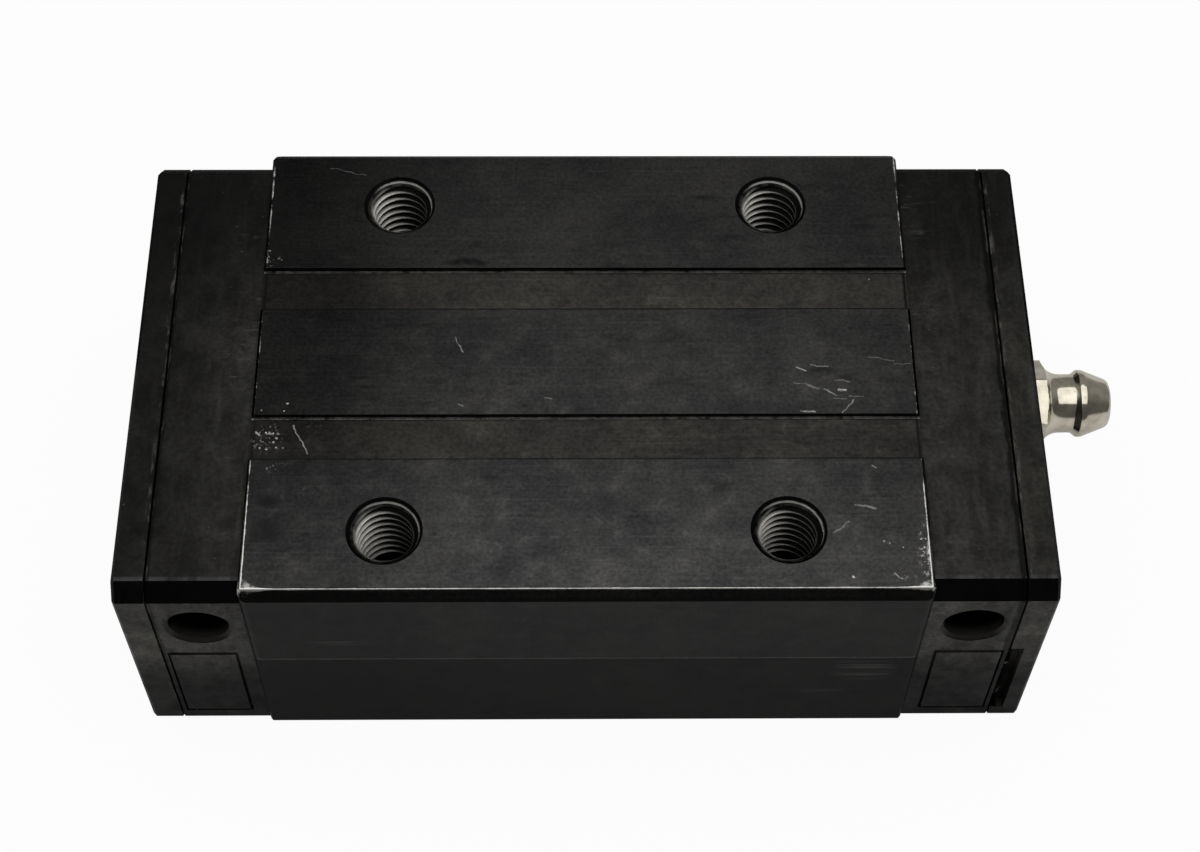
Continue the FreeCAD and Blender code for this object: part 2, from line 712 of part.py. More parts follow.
def grease_nipple():
    """Nipple with a hexagon, hollow flare, neck and conical head, bored for its check valve."""
    head = NIPPLE_HEAD_DIAMETER / 2
    neck = NIPPLE_NECK_DIAMETER / 2
    tip = NIPPLE_TIP_DIAMETER / 2
    flare = nipple_flare(2)
    outside = [(0, 0), (0, flare[0][1])] + flare + [
        (NIPPLE_NECK_END, neck),
        (NIPPLE_HEAD_START, head),
        (NIPPLE_HEAD_END, head),
        (NIPPLE_PROJECTION - NIPPLE_TIP_BEVEL, tip),
        (NIPPLE_PROJECTION, tip - NIPPLE_TIP_BEVEL),
        (NIPPLE_PROJECTION, 0),
    ]
    nipple = turned(outside).common(hexagon(NIPPLE_HEX_FLATS, -CUT_PAST, NIPPLE_PROJECTION + CUT_PAST))
    shank = many_sided(THREAD_RADIUS, THREAD_SIDES, -NIPPLE_SHANK_LENGTH, NIPPLE_HEX_HEIGHT, 0, 0)
    nipple = nipple.fuse(shank).removeSplitter()

    bore = NIPPLE_BORE_DIAMETER / 2
    mouth = NIPPLE_MOUTH_DIAMETER / 2
    seat = NIPPLE_PROJECTION - NIPPLE_LIP_LENGTH
    inside = turned([
        (NIPPLE_SPRING_SEAT, 0),
        (NIPPLE_SPRING_SEAT, bore),
        (seat - (bore - mouth), bore),
        (seat, mouth),
        (NIPPLE_PROJECTION + CUT_PAST, mouth),
        (NIPPLE_PROJECTION + CUT_PAST, 0),
    ])
    feed_start = -NIPPLE_SHANK_LENGTH - CUT_PAST
    feed = rod(NIPPLE_FEED_DIAMETER / 2, feed_start, NIPPLE_SPRING_SEAT + CUT_PAST, 0, 0)
    return placed(nipple.cut([inside, feed]), PLATE_END, 0, GREASE_HEIGHT)


def nipple_check_ball():
    """Ball that closes the nipple's mouth."""
    return placed(ball(CHECK_BALL_DIAMETER), PLATE_END + check_ball_place(), 0, GREASE_HEIGHT)


def nipple_spring():
    """Coil spring of square wire, bent in short straights, between its seat and the check ball."""
    radius = SPRING_COIL_DIAMETER / 2
    half = SPRING_WIRE / 2
    ball_radius = CHECK_BALL_DIAMETER / 2
    reach = math.sqrt(ball_radius ** 2 - (radius - half) ** 2)
    start = NIPPLE_SPRING_SEAT + half + SPRING_END_GAP
    end = check_ball_place() - reach - half - SPRING_END_GAP
    bends = SPRING_TURNS * SPRING_BENDS_PER_TURN
    points = []
    for k in range(bends + 1):
        angle = 2 * math.pi * k / SPRING_BENDS_PER_TURN
        x = start + (end - start) * k / bends
        points.append(Vector(x, radius * math.cos(angle), radius * math.sin(angle)))
    corners = [
        Vector(start - half, radius - half, 0),
        Vector(start + half, radius - half, 0),
        Vector(start + half, radius + half, 0),
        Vector(start - half, radius + half, 0),
    ]
    section = Part.makePolygon(corners + corners[:1])
    spring = Part.makePolygon(points).makePipeShell([section], True, False, 1)
    return placed(spring, PLATE_END, 0, GREASE_HEIGHT)


def port_plug():
    """Socket screw that closes the left cap's grease port, flush with the cap."""
    plug = many_sided(THREAD_RADIUS, THREAD_SIDES, 0, PLUG_LENGTH, 0, 0)
    plug = plug.cut(hexagon(PLUG_SOCKET_FLATS, -CUT_PAST, PLUG_SOCKET_DEPTH))
    return placed(plug, -CAP_END, 0, GREASE_HEIGHT)


def all_nodes():
    """Every piece of the block by name."""
    nodes = {"block_body": block_body()}
    paired = {
        "end_cap": end_cap(),
        "end_seal_plate": end_seal_plate(),
        "end_seal_lip": end_seal_lip(),
    }
    for name, shape in paired.items():
        nodes[name + "_right"] = shape
        nodes[name + "_left"] = turned_round(shape)
    for name, side, height, tilt in circuits():
        nodes["balls_" + name] = ball_circuit(side, height, tilt)
        for end_name, end in ENDS.items():
            guide = return_guide()
            guide.Placement = turn_place(side, height, tilt, end)
            nodes["return_guide_" + end_name + "_" + name] = guide
    for name, side in SIDES.items():
        nodes["ball_retainer_" + name] = ball_retainer(side)
        nodes["bottom_seal_" + name] = bottom_seal(side)
    nodes["end_screws"] = end_screws()
    nodes["grease_nipple"] = grease_nipple()
    nodes["nipple_check_ball"] = nipple_check_ball()
    nodes["nipple_spring"] = nipple_spring()
    nodes["port_plug"] = port_plug()
    return nodes


os.makedirs("parts", exist_ok=True)
for node, shape in all_nodes().items():
    shape.exportStep("parts/" + node + ".step")
    print(node, len(shape.Solids), "solids", round(shape.Volume, 2), "mm3", shape.isValid())
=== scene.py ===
import json
import math
from types import SimpleNamespace

import bmesh
import bpy
from mathutils import Matrix, Vector


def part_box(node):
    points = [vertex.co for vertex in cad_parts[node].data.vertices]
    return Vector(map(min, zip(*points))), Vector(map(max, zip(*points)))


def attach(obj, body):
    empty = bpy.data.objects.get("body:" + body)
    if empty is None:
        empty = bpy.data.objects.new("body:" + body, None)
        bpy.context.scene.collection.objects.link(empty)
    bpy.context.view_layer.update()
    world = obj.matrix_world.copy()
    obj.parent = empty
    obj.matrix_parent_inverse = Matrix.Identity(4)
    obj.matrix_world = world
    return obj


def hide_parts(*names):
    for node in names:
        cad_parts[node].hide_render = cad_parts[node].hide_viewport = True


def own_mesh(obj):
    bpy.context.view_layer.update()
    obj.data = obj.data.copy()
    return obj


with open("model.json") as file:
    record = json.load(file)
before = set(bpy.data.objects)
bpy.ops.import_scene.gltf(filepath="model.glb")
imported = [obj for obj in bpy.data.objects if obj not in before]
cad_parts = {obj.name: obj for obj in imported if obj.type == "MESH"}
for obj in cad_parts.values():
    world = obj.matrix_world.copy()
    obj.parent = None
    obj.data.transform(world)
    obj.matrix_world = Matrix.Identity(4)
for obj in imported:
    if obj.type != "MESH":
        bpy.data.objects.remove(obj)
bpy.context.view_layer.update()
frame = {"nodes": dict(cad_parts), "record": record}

MM = 0.001
NODES = frame["nodes"]
MOUNTS = {mount["name"]: mount for mount in frame["record"]["mounts"]}

# Places taken from the frame; all lengths here are millimetres
BODY_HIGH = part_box("block_body")[1] / MM
PLATE_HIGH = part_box("end_seal_plate_right")[1] / MM
CAP_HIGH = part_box("end_cap_right")[1] / MM
TOP = BODY_HIGH.z
SIDE = BODY_HIGH.y
BODY_END = BODY_HIGH.x
CAP_SIDE = PLATE_HIGH.y
CAP_END = CAP_HIGH.x
NIPPLE_SEAT = PLATE_HIGH.x
NIPPLE_AXIS = Vector(MOUNTS["nipple_head"]["pos_m"]) / MM

# Forms of the steel body
LAND_EDGE = 23.15
GROOVE_INNER = 5.7
GROOVE_OUTER = 10.25
GROOVE_FLOOR = TOP - 0.55
CHAMFER_FOOT = TOP - 0.9
END_CHAMFER = 0.25
BAND_FOOT = 14.0

# Thread of the mounting holes; flank and flat are shares of the pitch, the run-out a share of a turn
BOLTS = MOUNTS["top_bolts"]["dims"]
HOLE_X = BOLTS["spacing_x_mm"] / 2
HOLE_Y = BOLTS["spacing_y_mm"] / 2
HOLE_RADIUS = BOLTS["hole_r_mm"]
HOLE_DEPTH = 10.0
MOUTH_RADIUS = 3.35
MOUTH_ARC_RADIUS = 3.0
THREAD_PITCH = 1.0
THREAD_DEPTH = 0.52
THREAD_CREST = HOLE_RADIUS - THREAD_DEPTH
THREAD_START = 0.2
THREAD_SINK = 0.015
THREAD_FLANK = 0.44
THREAD_FLAT = 0.07
THREAD_RUNOUT = 0.3
THREAD_STEPS = 60
THREAD_FLANK_STEPS = 4

# Spring of the nipple's check ball
SPRING_LOW, SPRING_HIGH = [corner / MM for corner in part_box("nipple_spring")]
SPRING_WIRE = 0.3
SPRING_TURNS = 4
SPRING_STEPS = 32
SPRING_SIDES = 10

# Grease nipple: hexagon, fillet to the neck, and outlines as (distance from its seat, radius)
NIPPLE_SIDES = 144
NIPPLE_APOTHEM = 3.5
NIPPLE_CORNER = 4.09
NIPPLE_CORNER_BREAK = 0.15
NIPPLE_SHANK = 2.9
NIPPLE_HEX_END = 1.6
NIPPLE_NECK = 2.725
NIPPLE_NECK_START = 3.4
NIPPLE_FILLET_STEPS = 16
NIPPLE_HEAD_OUTLINE = [
    (4.35, NIPPLE_NECK), (4.5, NIPPLE_NECK + 0.06), (4.85, 3.06), (4.95, 3.12), (5.15, 3.13),
    (5.4, 3.11), (5.5, 3.06), (7.45, 2.3), (7.6, 2.22), (7.75, 2.08), (7.83, 1.9), (7.85, 1.75),
]
NIPPLE_BORE_OUTLINE = [
    (7.85, 1.1), (7.8, 1.0), (7.7, 0.95), (7.28, 0.95), (6.88, 1.35), (1.0, 1.35), (1.0, 0.8),
    (-7.2, 0.8),
]
NIPPLE_SHANK_OUTLINE = [(-7.2, 2.7), (-7.0, NIPPLE_SHANK)]

# Fineness of the spheres
BALL_FINENESS = 3
CHECK_BALL_FINENESS = 4

# Side ports of the end caps, and the lips round them
PORT_X = BODY_END + 4.2
PORT_Z = TOP - 6.8
PORT_RADIUS = 2.65
PORT_LIP = 0.25

# Notches at the joint of cap and plate, for prising them apart, and how far their painted shade reaches into
# the plate
NOTCH_DEPTH = 1.0
NOTCH_IN_CAP = 0.2
NOTCH_IN_PLATE = 1.2
NOTCH_SHADE_REACH = 0.45
NOTCH_FOOT = 2.0
NOTCH_TOP = 14.5

# Slope between the top and the sides of the end caps, and how far in the painted highlight along its brow
# lies
CAP_SLOPE = 1.45
BROW_INSET = 0.12

# Camera: the photograph's place, turn and lens
PHOTO_WIDTH = 1200
CAMERA_PLACE = Vector((-0.955, -112.483, 198.598))
CAMERA_AZIMUTH = -1.182
CAMERA_ELEVATION = 58.553
CAMERA_ROLL = 0.890
CAMERA_FOCAL_PIXELS = 2277.81
CAMERA_CLIP = (10.0, 20000.0)
SENSOR_WIDTH = 36.0

# How much of the floor is plain white to each kind of ray; the rest shows its shadow
FLOOR_WHITENESS = {"Is Camera Ray": 0.95, "Is Glossy Ray": 0.15, "Is Transmission Ray": 0.15}
FLOOR_GREY = 0.75
FLOOR_REACH = 6000.0
FLOOR_DROP = 0.02

# Brightness of the room behind and beside the object and in front of it, and where it changes
ROOM_LEVEL = 0.27
ROOM_FRONT_LEVEL = 0.12
ROOM_TURN = (-0.4, 0.2)
ROOM_TINT = (1.0, 0.985, 0.95)

# Wide dim lamp overhead
LAMP_PLACE = Vector((40, 0, 626))
LAMP_WIDTH = 1200
LAMP_DEPTH = 806
LAMP_RADIANCE = 1.3

# Softness of edges between two looks: sharp and plain
HAIR = 0.02
SOFT = 0.1

# Ranges of a noise pattern that the looks fade over
WIDE = (0.25, 0.75)
MIDDLE = (0.3, 0.7)

# Black coating of the steel: how light it is as a whole, its plain colour, its tint seen edge-on,
# the two colours it varies between and those of certain places, among them painted shade and highlight
STEEL_LIGHTNESS = 2.7
COATING_PLAIN = (0.012, 0.012, 0.012)
COATING_EDGE_ON = (0.6, 0.6, 0.6, 1.0)
COATING_DARK = (0.0088, 0.0090, 0.0092)
COATING_LIGHT = (0.0148, 0.0146, 0.0141)
COATING_SIDE = (0.0122, 0.0121, 0.0118)
COATING_STAINED = (0.0035, 0.0035, 0.0035)
BRINK_PAINTED_SHADE = (0.002, 0.002, 0.002)
WALL_PAINTED_SHADE = (0.0008, 0.0008, 0.0008)
HOLE_PAINTED_SHADE = (0.004, 0.004, 0.004)
COATING_STRIP_END = (0.003, 0.003, 0.003)
BARE_STEEL_AND_HIGHLIGHT = (0.62, 0.61, 0.59)

# Layers on those: pattern, its value where the layer starts and where it is full, share and colour
COATING_LAYERS = [
    ("blotch", 0.48, 0.75, 0.45, (0.0225, 0.0219, 0.0207)),
    ("blotch", 0.48, 0.28, 0.35, (0.0055, 0.0056, 0.0058)),
    ("smear", 0.46, 0.30, 0.50, (0.0055, 0.0055, 0.0053)),
    ("streak", 0.50, 0.80, 0.45, (0.0260, 0.0257, 0.0248)),
]

# Lightness of the coating by place: groove floors front and rear, painted shade at the left end, right end,
# painted sheen at the front, lower sides, and painted shade on the long chamfers
SPECKLE = (0.72, 1.28)
STRIP_LIGHTNESS = (0.9, 1.25)
STRIP_TINT = (1.02, 0.98, 0.91)
LEFT_REACH = (-28.0, -5.0)
LEFT_PAINTED_SHADE = (0.6, 0.34)
LEFT_TURN = (-14.0, -4.0)
RIGHT_REACH = (18.0, 30.0)
RIGHT_LIGHTNESS = 0.78
FRONT_REACH = (-20.0, -11.0)
FRONT_PAINTED_SHEEN = 1.2
LOWER_SIDE_LIGHTNESS = 0.75
CHAMFER_PAINTED_SHADE = 0.65

# Worn lines of the steel, with painted shade and painted highlights along some edges: how far each is full
# and where it ends, and how bright or dark it is
BRINK_LINE = (0.08, 0.22)
BAND_LINE = (0.06, 0.2)
FOOT_FULL = 0.17
FOOT_END = 0.26
END_LINE = 0.26
FRONT_LINE = (0.11, 0.17)
CORNER_LINE = 0.42
CORNER_REACH = (BODY_END - 3.5, BODY_END - 0.8)
MOUTH_LINE = (0.02, 0.1)
BRINK_SHADE_DARKNESS = 0.75
BAND_HIGHLIGHT_LEVEL = 0.09
SCUFF_BRIGHTNESS = 0.09
MOUTH_BRIGHTNESS = 0.8

# Shares of a mark's reach inside which it is full
SCRATCH_CORE = 0.3
SPECK_CORE = 0.5
STAIN_CORE = 0.3
SCUFF_CORE = 0.4

# Scratches on the top: start, end, width, and how bright
SCRATCHES = [
    ((19.1, -0.8), (19.9, -1.1), 0.12, 0.45),
    ((20.3, -0.5), (21.9, -0.7), 0.07, 0.30),
    ((18.7, -2.4), (19.8, -2.4), 0.07, 0.25),
    ((19.8, -2.5), (20.8, -3.0), 0.13, 0.25),
    ((21.3, -3.1), (22.4, -3.7), 0.09, 0.30),
    ((22.7, -3.1), (23.4, -3.3), 0.13, 0.60),
    ((22.1, -4.1), (23.2, -4.2), 0.07, 0.25),
    ((22.9, -5.6), (23.9, -4.2), 0.08, 0.45),
    ((23.6, -3.9), (25.0, -3.9), 0.06, 0.20),
    ((22.5, -2.1), (23.7, -2.3), 0.07, 0.25),
    ((25.6, 0.3), (27.9, 0.0), 0.06, 0.18),
    ((27.9, -0.4), (29.4, -0.5), 0.06, 0.15),
    ((19.1, -5.5), (20.5, -5.6), 0.09, 0.45),
    ((-11.9, 2.5), (-11.1, 0.9), 0.07, 0.30),
    ((-3.7, -4.0), (-3.0, -4.0), 0.07, 0.30),
    ((-11.4, -4.6), (-11.0, -4.8), 0.07, 0.30),
    ((-26.1, -6.5), (-24.6, -9.4), 0.08, 0.40),
    ((-29.3, -7.1), (-28.9, -7.5), 0.09, 0.50),
    ((23.3, -15.1), (25.2, -15.3), 0.13, 0.22),
    ((21.4, -17.8), (22.7, -16.8), 0.10, 0.15),
    ((26.3, -21.8), (26.9, -22.4), 0.09, 0.35),
    ((25.2, -11.1), (25.6, -11.3), 0.09, 0.25),
    ((-24.3, 21.9), (-20.9, 21.0), 0.06, 0.15),
]

# Bright specks on the top: place, radius, and how bright
SPECKS = [
    ((-26.7, -4.5), 0.12, 0.7),
    ((-26.8, -5.3), 0.10, 0.7),
    ((-28.9, -5.2), 0.10, 0.5),
    ((-28.4, -7.2), 0.12, 0.7),
    ((-27.5, -7.9), 0.14, 0.5),
    ((-28.9, -8.9), 0.12, 0.6),
    ((-28.3, -9.0), 0.10, 0.6),
    ((-27.5, -8.8), 0.10, 0.5),
    ((-26.8, -8.9), 0.10, 0.5),
    ((25.6, -18.6), 0.10, 0.5),
    ((26.1, -18.8), 0.12, 0.5),
    ((27.2, -19.2), 0.10, 0.4),
    ((22.8, -22.2), 0.16, 0.9),
    ((26.4, 9.2), 0.10, 0.5),
    ((-29.4, 12.1), 0.12, 0.4),
    ((-28.3, 11.1), 0.12, 0.3),
]

# Dark stains on the top: centre, reach along X and Y, and how dark
STAINS = [
    ((-27.7, -14.6), 1.5, 0.9, 0.8),
    ((-27.6, -17.6), 2.0, 1.7, 0.75),
    ((-11.0, 10.9), 2.9, 0.5, 0.9),
    ((26.2, 15.0), 1.9, 0.5, 0.5),
    ((-29.0, 14.0), 2.5, 7.0, 0.35),
    ((21.2, -1.1), 1.9, 0.5, 0.5),
    ((23.5, -1.9), 1.2, 0.5, 0.5),
    ((11.4, 18.3), 2.2, 0.4, 0.5),
]

# Places where the coating has come off in fine flakes: centre, reach along X and Y, and how bright
FLAKED = [
    ((-28.4, -7.9), 1.7, 1.9, 0.6),
    ((29.2, -19.6), 0.9, 3.2, 0.9),
    ((-27.4, -11.2), 1.1, 0.7, 0.5),
    ((-29.2, 11.3), 0.9, 1.1, 0.9),
    ((-24.2, -6.8), 1.2, 0.8, 0.1),
    ((-24.3, -13.6), 1.2, 0.7, 0.1),
    ((26.9, -22.0), 1.6, 0.8, 0.2),
]

# Patches of the top rubbed to bare steel: centre, reach along X and Y, and how bright
RUBBED = [
    ((-29.6, -22.9), 1.7, 0.75, 0.9),
    ((29.4, -22.9), 1.4, 0.5, 0.7),
    ((29.5, -20.2), 0.35, 2.2, 0.7),
]

# Scuffed patches of the front face: centre along X and Z, and reach along X and Z
SIDE_SCUFFS = [
    ((25.0, 11.0), 3.6, 3.2),
    ((21.8, 6.3), 2.6, 0.9),
    ((-21.0, 17.3), 5.0, 0.5),
]

# Black mouldings: plain colours and the films on them, and the colours of their marks, painted shade and
# painted highlight
CAP_BLACK = (0.0014, 0.0014, 0.0014)
CAP_FILM = (0.071, 0.069, 0.063)
PLATE_BLACK = (0.0018, 0.0018, 0.0017)
PLATE_FILM = (0.071, 0.069, 0.061)
MOULDING_SPREAD = (0.6, 1.5)
DUST_SHARE = 2.5
SCUFF_GREY = (0.085, 0.08, 0.068)
BROW_HIGHLIGHT = (0.085, 0.088, 0.094)
SPECK_GREY = (0.13, 0.125, 0.11)
PORT_PAINTED_SHADE = (0.0004, 0.0004, 0.0004)
PORT_DUST_AND_LIGHT = (0.03, 0.029, 0.026)
JOINT_BLACK_AND_NOTCH_SHADE = (0.0006, 0.0006, 0.0006)
JOINT_RUBBED = (0.12, 0.112, 0.096)
NOTCH_FLAKE = (0.16, 0.15, 0.135)

# Cut thread, rubber and natural plastic
THREAD_PLAIN = (0.3, 0.3, 0.29)
THREAD_BLACK = (0.007, 0.007, 0.0065)
THREAD_CONE = (0.07, 0.07, 0.066)
THREAD_BARE_AND_HIGHLIGHT = (0.85, 0.83, 0.78)
RUBBER_BLACK = (0.006, 0.006, 0.006)
RUBBER_DARK = (0.004, 0.004, 0.004)
RUBBER_BLOOM = (0.012, 0.012, 0.011)
GUIDE_PLAIN = (0.6, 0.58, 0.52)
GUIDE_DARK = (0.52, 0.5, 0.44)
GUIDE_PALE = (0.64, 0.62, 0.57)

# Plain metals: colour, roughness where polished and where dull, size of the clouds, share left where dull
STRIP_STEEL = ((0.5, 0.49, 0.47), 0.28, 0.45, 0.8, 0.8)
SCREW_STEEL = ((0.22, 0.216, 0.205), 0.25, 0.45, 1.0, 0.6)
BALL_STEEL = ((0.72, 0.72, 0.73), 0.06, 0.14, 0.6, 0.8)
NIPPLE_PLATING = ((0.70, 0.655, 0.54), 0.08, 0.2, 0.7, 0.62)


class Shade:
    """A node material with short calls for the nodes used here; lengths are millimetres."""

    def __init__(self, name, colour, roughness, specular, metallic=0.0):
        self.material = bpy.data.materials.new(name)
        self.material.use_nodes = True
        self.tree = self.material.node_tree
        self.surface = self.tree.nodes["Principled BSDF"]
        self.set("Base Color", (*colour, 1.0))
        self.set("Roughness", roughness)
        self.set("Specular IOR Level", specular)
        self.set("Metallic", metallic)
        place = self.node("ShaderNodeTexCoord").outputs["Object"]
        self.place = self.vector("SCALE", place, scale=1 / MM)
        self.x, self.y, self.z = self.parts(self.place)

    def node(self, kind):
        return self.tree.nodes.new(kind)

    def link(self, source, target):
        """Joins a socket to another one, or writes a plain value into it."""
        if isinstance(source, bpy.types.NodeSocket):
            self.tree.links.new(source, target)
        else:
            target.default_value = source

    def set(self, socket, value):
        self.link(value, self.surface.inputs[socket])

    def parts(self, vector):
        """The three parts of a vector."""
        node = self.node("ShaderNodeSeparateXYZ")
        self.link(vector, node.inputs[0])
        return list(node.outputs)

    def math(self, operation, *values):
        node = self.node("ShaderNodeMath")
        node.operation = operation
        for value, target in zip(values, node.inputs):
            self.link(value, target)
        return node.outputs[0]

    def vector(self, operation, first, second=None, scale=None):
        node = self.node("ShaderNodeVectorMath")
        node.operation = operation
        self.link(first, node.inputs[0])
        if second is not None:
            self.link(second, node.inputs[1])
        if scale is not None:
            self.link(scale, node.inputs["Scale"])
        return node.outputs["Value" if operation in ("LENGTH", "DISTANCE", "DOT_PRODUCT") else "Vector"]

    def rise(self, value, low, high):
        """0 below low, 1 above high and smooth between."""
        node = self.node("ShaderNodeMapRange")
        node.interpolation_type = "SMOOTHSTEP"
        for name, number in (("Value", value), ("From Min", low), ("From Max", high)):
            self.link(number, node.inputs[name])
        return node.outputs["Result"]

    def fall(self, value, low, high):
        """1 below low, 0 above high and smooth between."""
        return self.math("SUBTRACT", 1.0, self.rise(value, low, high))

    def fade(self, value, start, full):
        """0 at start, 1 at full and smooth between, whichever of them is larger."""
        if full > start:
            return self.rise(value, start, full)
        return self.fall(value, full, start)

    def both(self, *masks):
        """Where all masks are; a number among them is a share."""
        result = masks[0]
        for mask in masks[1:]:
            result = self.math("MULTIPLY", result, mask)
        return result

    def either(self, *masks):
        """Where any of the masks is."""
        result = masks[0]
        for mask in masks[1:]:
            result = self.math("MAXIMUM", result, mask)
        return result

    def apart(self, first, second):
        """Distance between two numbers."""
        return self.math("ABSOLUTE", self.math("SUBTRACT", first, second))

    def squares(self, first, second):
        """Sum of the squares of two numbers."""
        return self.math("ADD", self.math("POWER", first, 2.0), self.math("POWER", second, 2.0))

    def stretched(self, x, y, z):
        """Places with each axis scaled, for streaky noise."""
        return self.vector("MULTIPLY", self.place, (x, y, z))

    def noise(self, place, scale, detail=3.0, roughness=0.5):
        node = self.node("ShaderNodeTexNoise")
        self.link(place, node.inputs["Vector"])
        node.inputs["Scale"].default_value = scale
        node.inputs["Detail"].default_value = detail
        node.inputs["Roughness"].default_value = roughness
        return node.outputs["Factor" if "Factor" in node.outputs else "Fac"]

    def sway(self, scale, reach):
        """Places moved about by up to the given reach."""
        node = self.node("ShaderNodeTexNoise")
        self.link(self.place, node.inputs["Vector"])
        node.inputs["Scale"].default_value = scale
        shift = self.vector("SUBTRACT", node.outputs["Color"], (0.5, 0.5, 0.5))
        return self.vector("ADD", self.place, self.vector("SCALE", shift, scale=2 * reach))

    def mix(self, share, first, second):
        """A colour between two others."""
        node = self.node("ShaderNodeMix")
        node.data_type = "RGBA"
        colours = [socket for socket in node.inputs if socket.type == "RGBA"]
        self.link(share, node.inputs["Factor"])
        for value, target in ((first, colours[0]), (second, colours[1])):
            self.link(value if isinstance(value, bpy.types.NodeSocket) else (*value, 1.0), target)
        return next(socket for socket in node.outputs if socket.type == "RGBA")

    def blend(self, share, first, second):
        """A number between two others."""
        span = self.math("SUBTRACT", second, first)
        return self.math("ADD", first, self.math("MULTIPLY", share, span))

    def scaled(self, colour, factor):
        """A colour made lighter or darker as a whole."""
        return self.vector("SCALE", colour, scale=factor)

    def bump(self, height, distance, strength):
        """Relief of the given height in millimetres."""
        node = self.node("ShaderNodeBump")
        node.inputs["Strength"].default_value = strength
        node.inputs["Distance"].default_value = distance * MM
        self.link(height, node.inputs["Height"])
        self.set("Normal", node.outputs[0])


def scratch(shade, place, start, end, width, level):
    """Mask of one straight scratch seen from above."""
    first = Vector((*start, 0.0))
    span = Vector((*end, 0.0)) - first
    offset = shade.vector("SUBTRACT", place, first)
    along = shade.vector("DOT_PRODUCT", offset, span)
    share = shade.math("DIVIDE", along, span.length_squared)
    share = shade.math("MINIMUM", shade.math("MAXIMUM", share, 0.0), 1.0)
    nearest = shade.vector("SCALE", span, scale=share)
    gap = shade.vector("DISTANCE", offset, nearest)
    return shade.both(shade.fall(gap, SCRATCH_CORE * width, width), level)


def speck(shade, place, centre, radius, level):
    """Mask of one small speck seen from above."""
    gap = shade.vector("DISTANCE", place, (*centre, 0.0))
    return shade.both(shade.fall(gap, SPECK_CORE * radius, radius), level)


def stain(shade, place, centre, reach_x, reach_y, level):
    """Mask of one soft stain seen from above."""
    offset = shade.vector("SUBTRACT", place, (*centre, 0.0))
    gap = shade.vector("LENGTH", shade.vector("MULTIPLY", offset, (1 / reach_x, 1 / reach_y, 0.0)))
    return shade.both(shade.fall(gap, STAIN_CORE, 1.0), level)


def stains(shade, place, spots):
    """Mask of a list of soft stains."""
    return shade.either(*[stain(shade, place, *spot) for spot in spots])


def side_scuff(shade, centre, reach_x, reach_z):
    """Mask of one scuffed patch of a side face."""
    offset = shade.vector("SUBTRACT", shade.place, (centre[0], 0.0, centre[1]))
    gap = shade.vector("LENGTH", shade.vector("MULTIPLY", offset, (1 / reach_x, 0.0, 1 / reach_z)))
    return shade.fall(gap, SCUFF_CORE, 1.0)


def hole_offset(shade):
    """Offsets along X and Y from the axis of the nearest mounting hole."""
    column = shade.math("MULTIPLY", shade.math("SIGN", shade.x), HOLE_X)
    row = shade.math("MULTIPLY", shade.math("SIGN", shade.y), HOLE_Y)
    return shade.math("SUBTRACT", shade.x, column), shade.math("SUBTRACT", shade.y, row)


def hole_radius(shade):
    """Distance from the axis of the nearest mounting hole."""
    return shade.math("SQRT", shade.squares(*hole_offset(shade)))


def mouth_arc(shade, radius):
    """Mask of the thin bare arc round the rear and right of each hole's mouth."""
    across, deep = hole_offset(shade)
    right = shade.math("MULTIPLY", across, 0.6)
    rear = shade.math("MULTIPLY", deep, 0.8)
    toward = shade.rise(shade.math("ADD", right, rear), -0.4, 1.7)
    gap = shade.apart(radius, MOUTH_ARC_RADIUS)
    high = shade.rise(shade.z, TOP - 0.55, TOP - 0.45)
    return shade.both(shade.fall(gap, *MOUTH_LINE), high, toward)


def steel_patterns(shade):
    """Noise that the looks of the steel are mixed from."""
    patches = shade.noise(shade.place, scale=0.35, detail=3.0, roughness=0.6)
    return {
        "cloud": shade.noise(shade.place, scale=0.11, detail=5.0, roughness=0.62),
        "blotch": shade.noise(shade.sway(0.3, 1.0), scale=0.5, detail=6.0, roughness=0.62),
        "smear": shade.noise(shade.stretched(0.22, 0.7, 0.7), scale=1.0, detail=5.0, roughness=0.65),
        "grain": shade.noise(shade.place, scale=3.0, detail=4.0, roughness=0.6),
        "streak": shade.noise(shade.stretched(0.05, 3.5, 3.5), scale=1.0, detail=5.0, roughness=0.68),
        "ragged": shade.noise(shade.place, scale=1.6, detail=5.0, roughness=0.7),
        "fine": shade.noise(shade.place, scale=2.4, detail=5.0, roughness=0.7),
        "patchy": shade.rise(patches, 0.36, 0.6),
    }


def steel_faces(shade):
    """Masks of the steel body's faces, and the distances that they come from."""
    length = shade.math("ABSOLUTE", shade.x)
    spread = shade.math("ABSOLUTE", shade.y)
    up = shade.rise(shade.z, GROOVE_FLOOR - SOFT, GROOVE_FLOOR - HAIR)
    groove = shade.both(
        up,
        shade.rise(spread, GROOVE_INNER - HAIR, GROOVE_INNER + HAIR),
        shade.fall(spread, GROOVE_OUTER - HAIR, GROOVE_OUTER + HAIR))
    chamfer = shade.both(
        shade.rise(spread, LAND_EDGE + SOFT, LAND_EDGE + 2 * SOFT),
        shade.rise(shade.z, CHAMFER_FOOT, CHAMFER_FOOT + SOFT))
    return SimpleNamespace(
        flat=shade.vector("MULTIPLY", shade.sway(0.8, 0.35), (1.0, 1.0, 0.0)),
        length=length,
        spread=spread,
        up=up,
        groove=groove,
        chamfer=chamfer,
        below=shade.fall(shade.z, BAND_FOOT - 0.25, BAND_FOOT - SOFT),
        above_floor=shade.rise(shade.z, GROOVE_FLOOR + HAIR, GROOVE_FLOOR + 3 * HAIR),
        end_line=shade.fall(shade.apart(BODY_END - END_CHAMFER, length), 0.0, END_LINE),
        bore=hole_radius(shade))


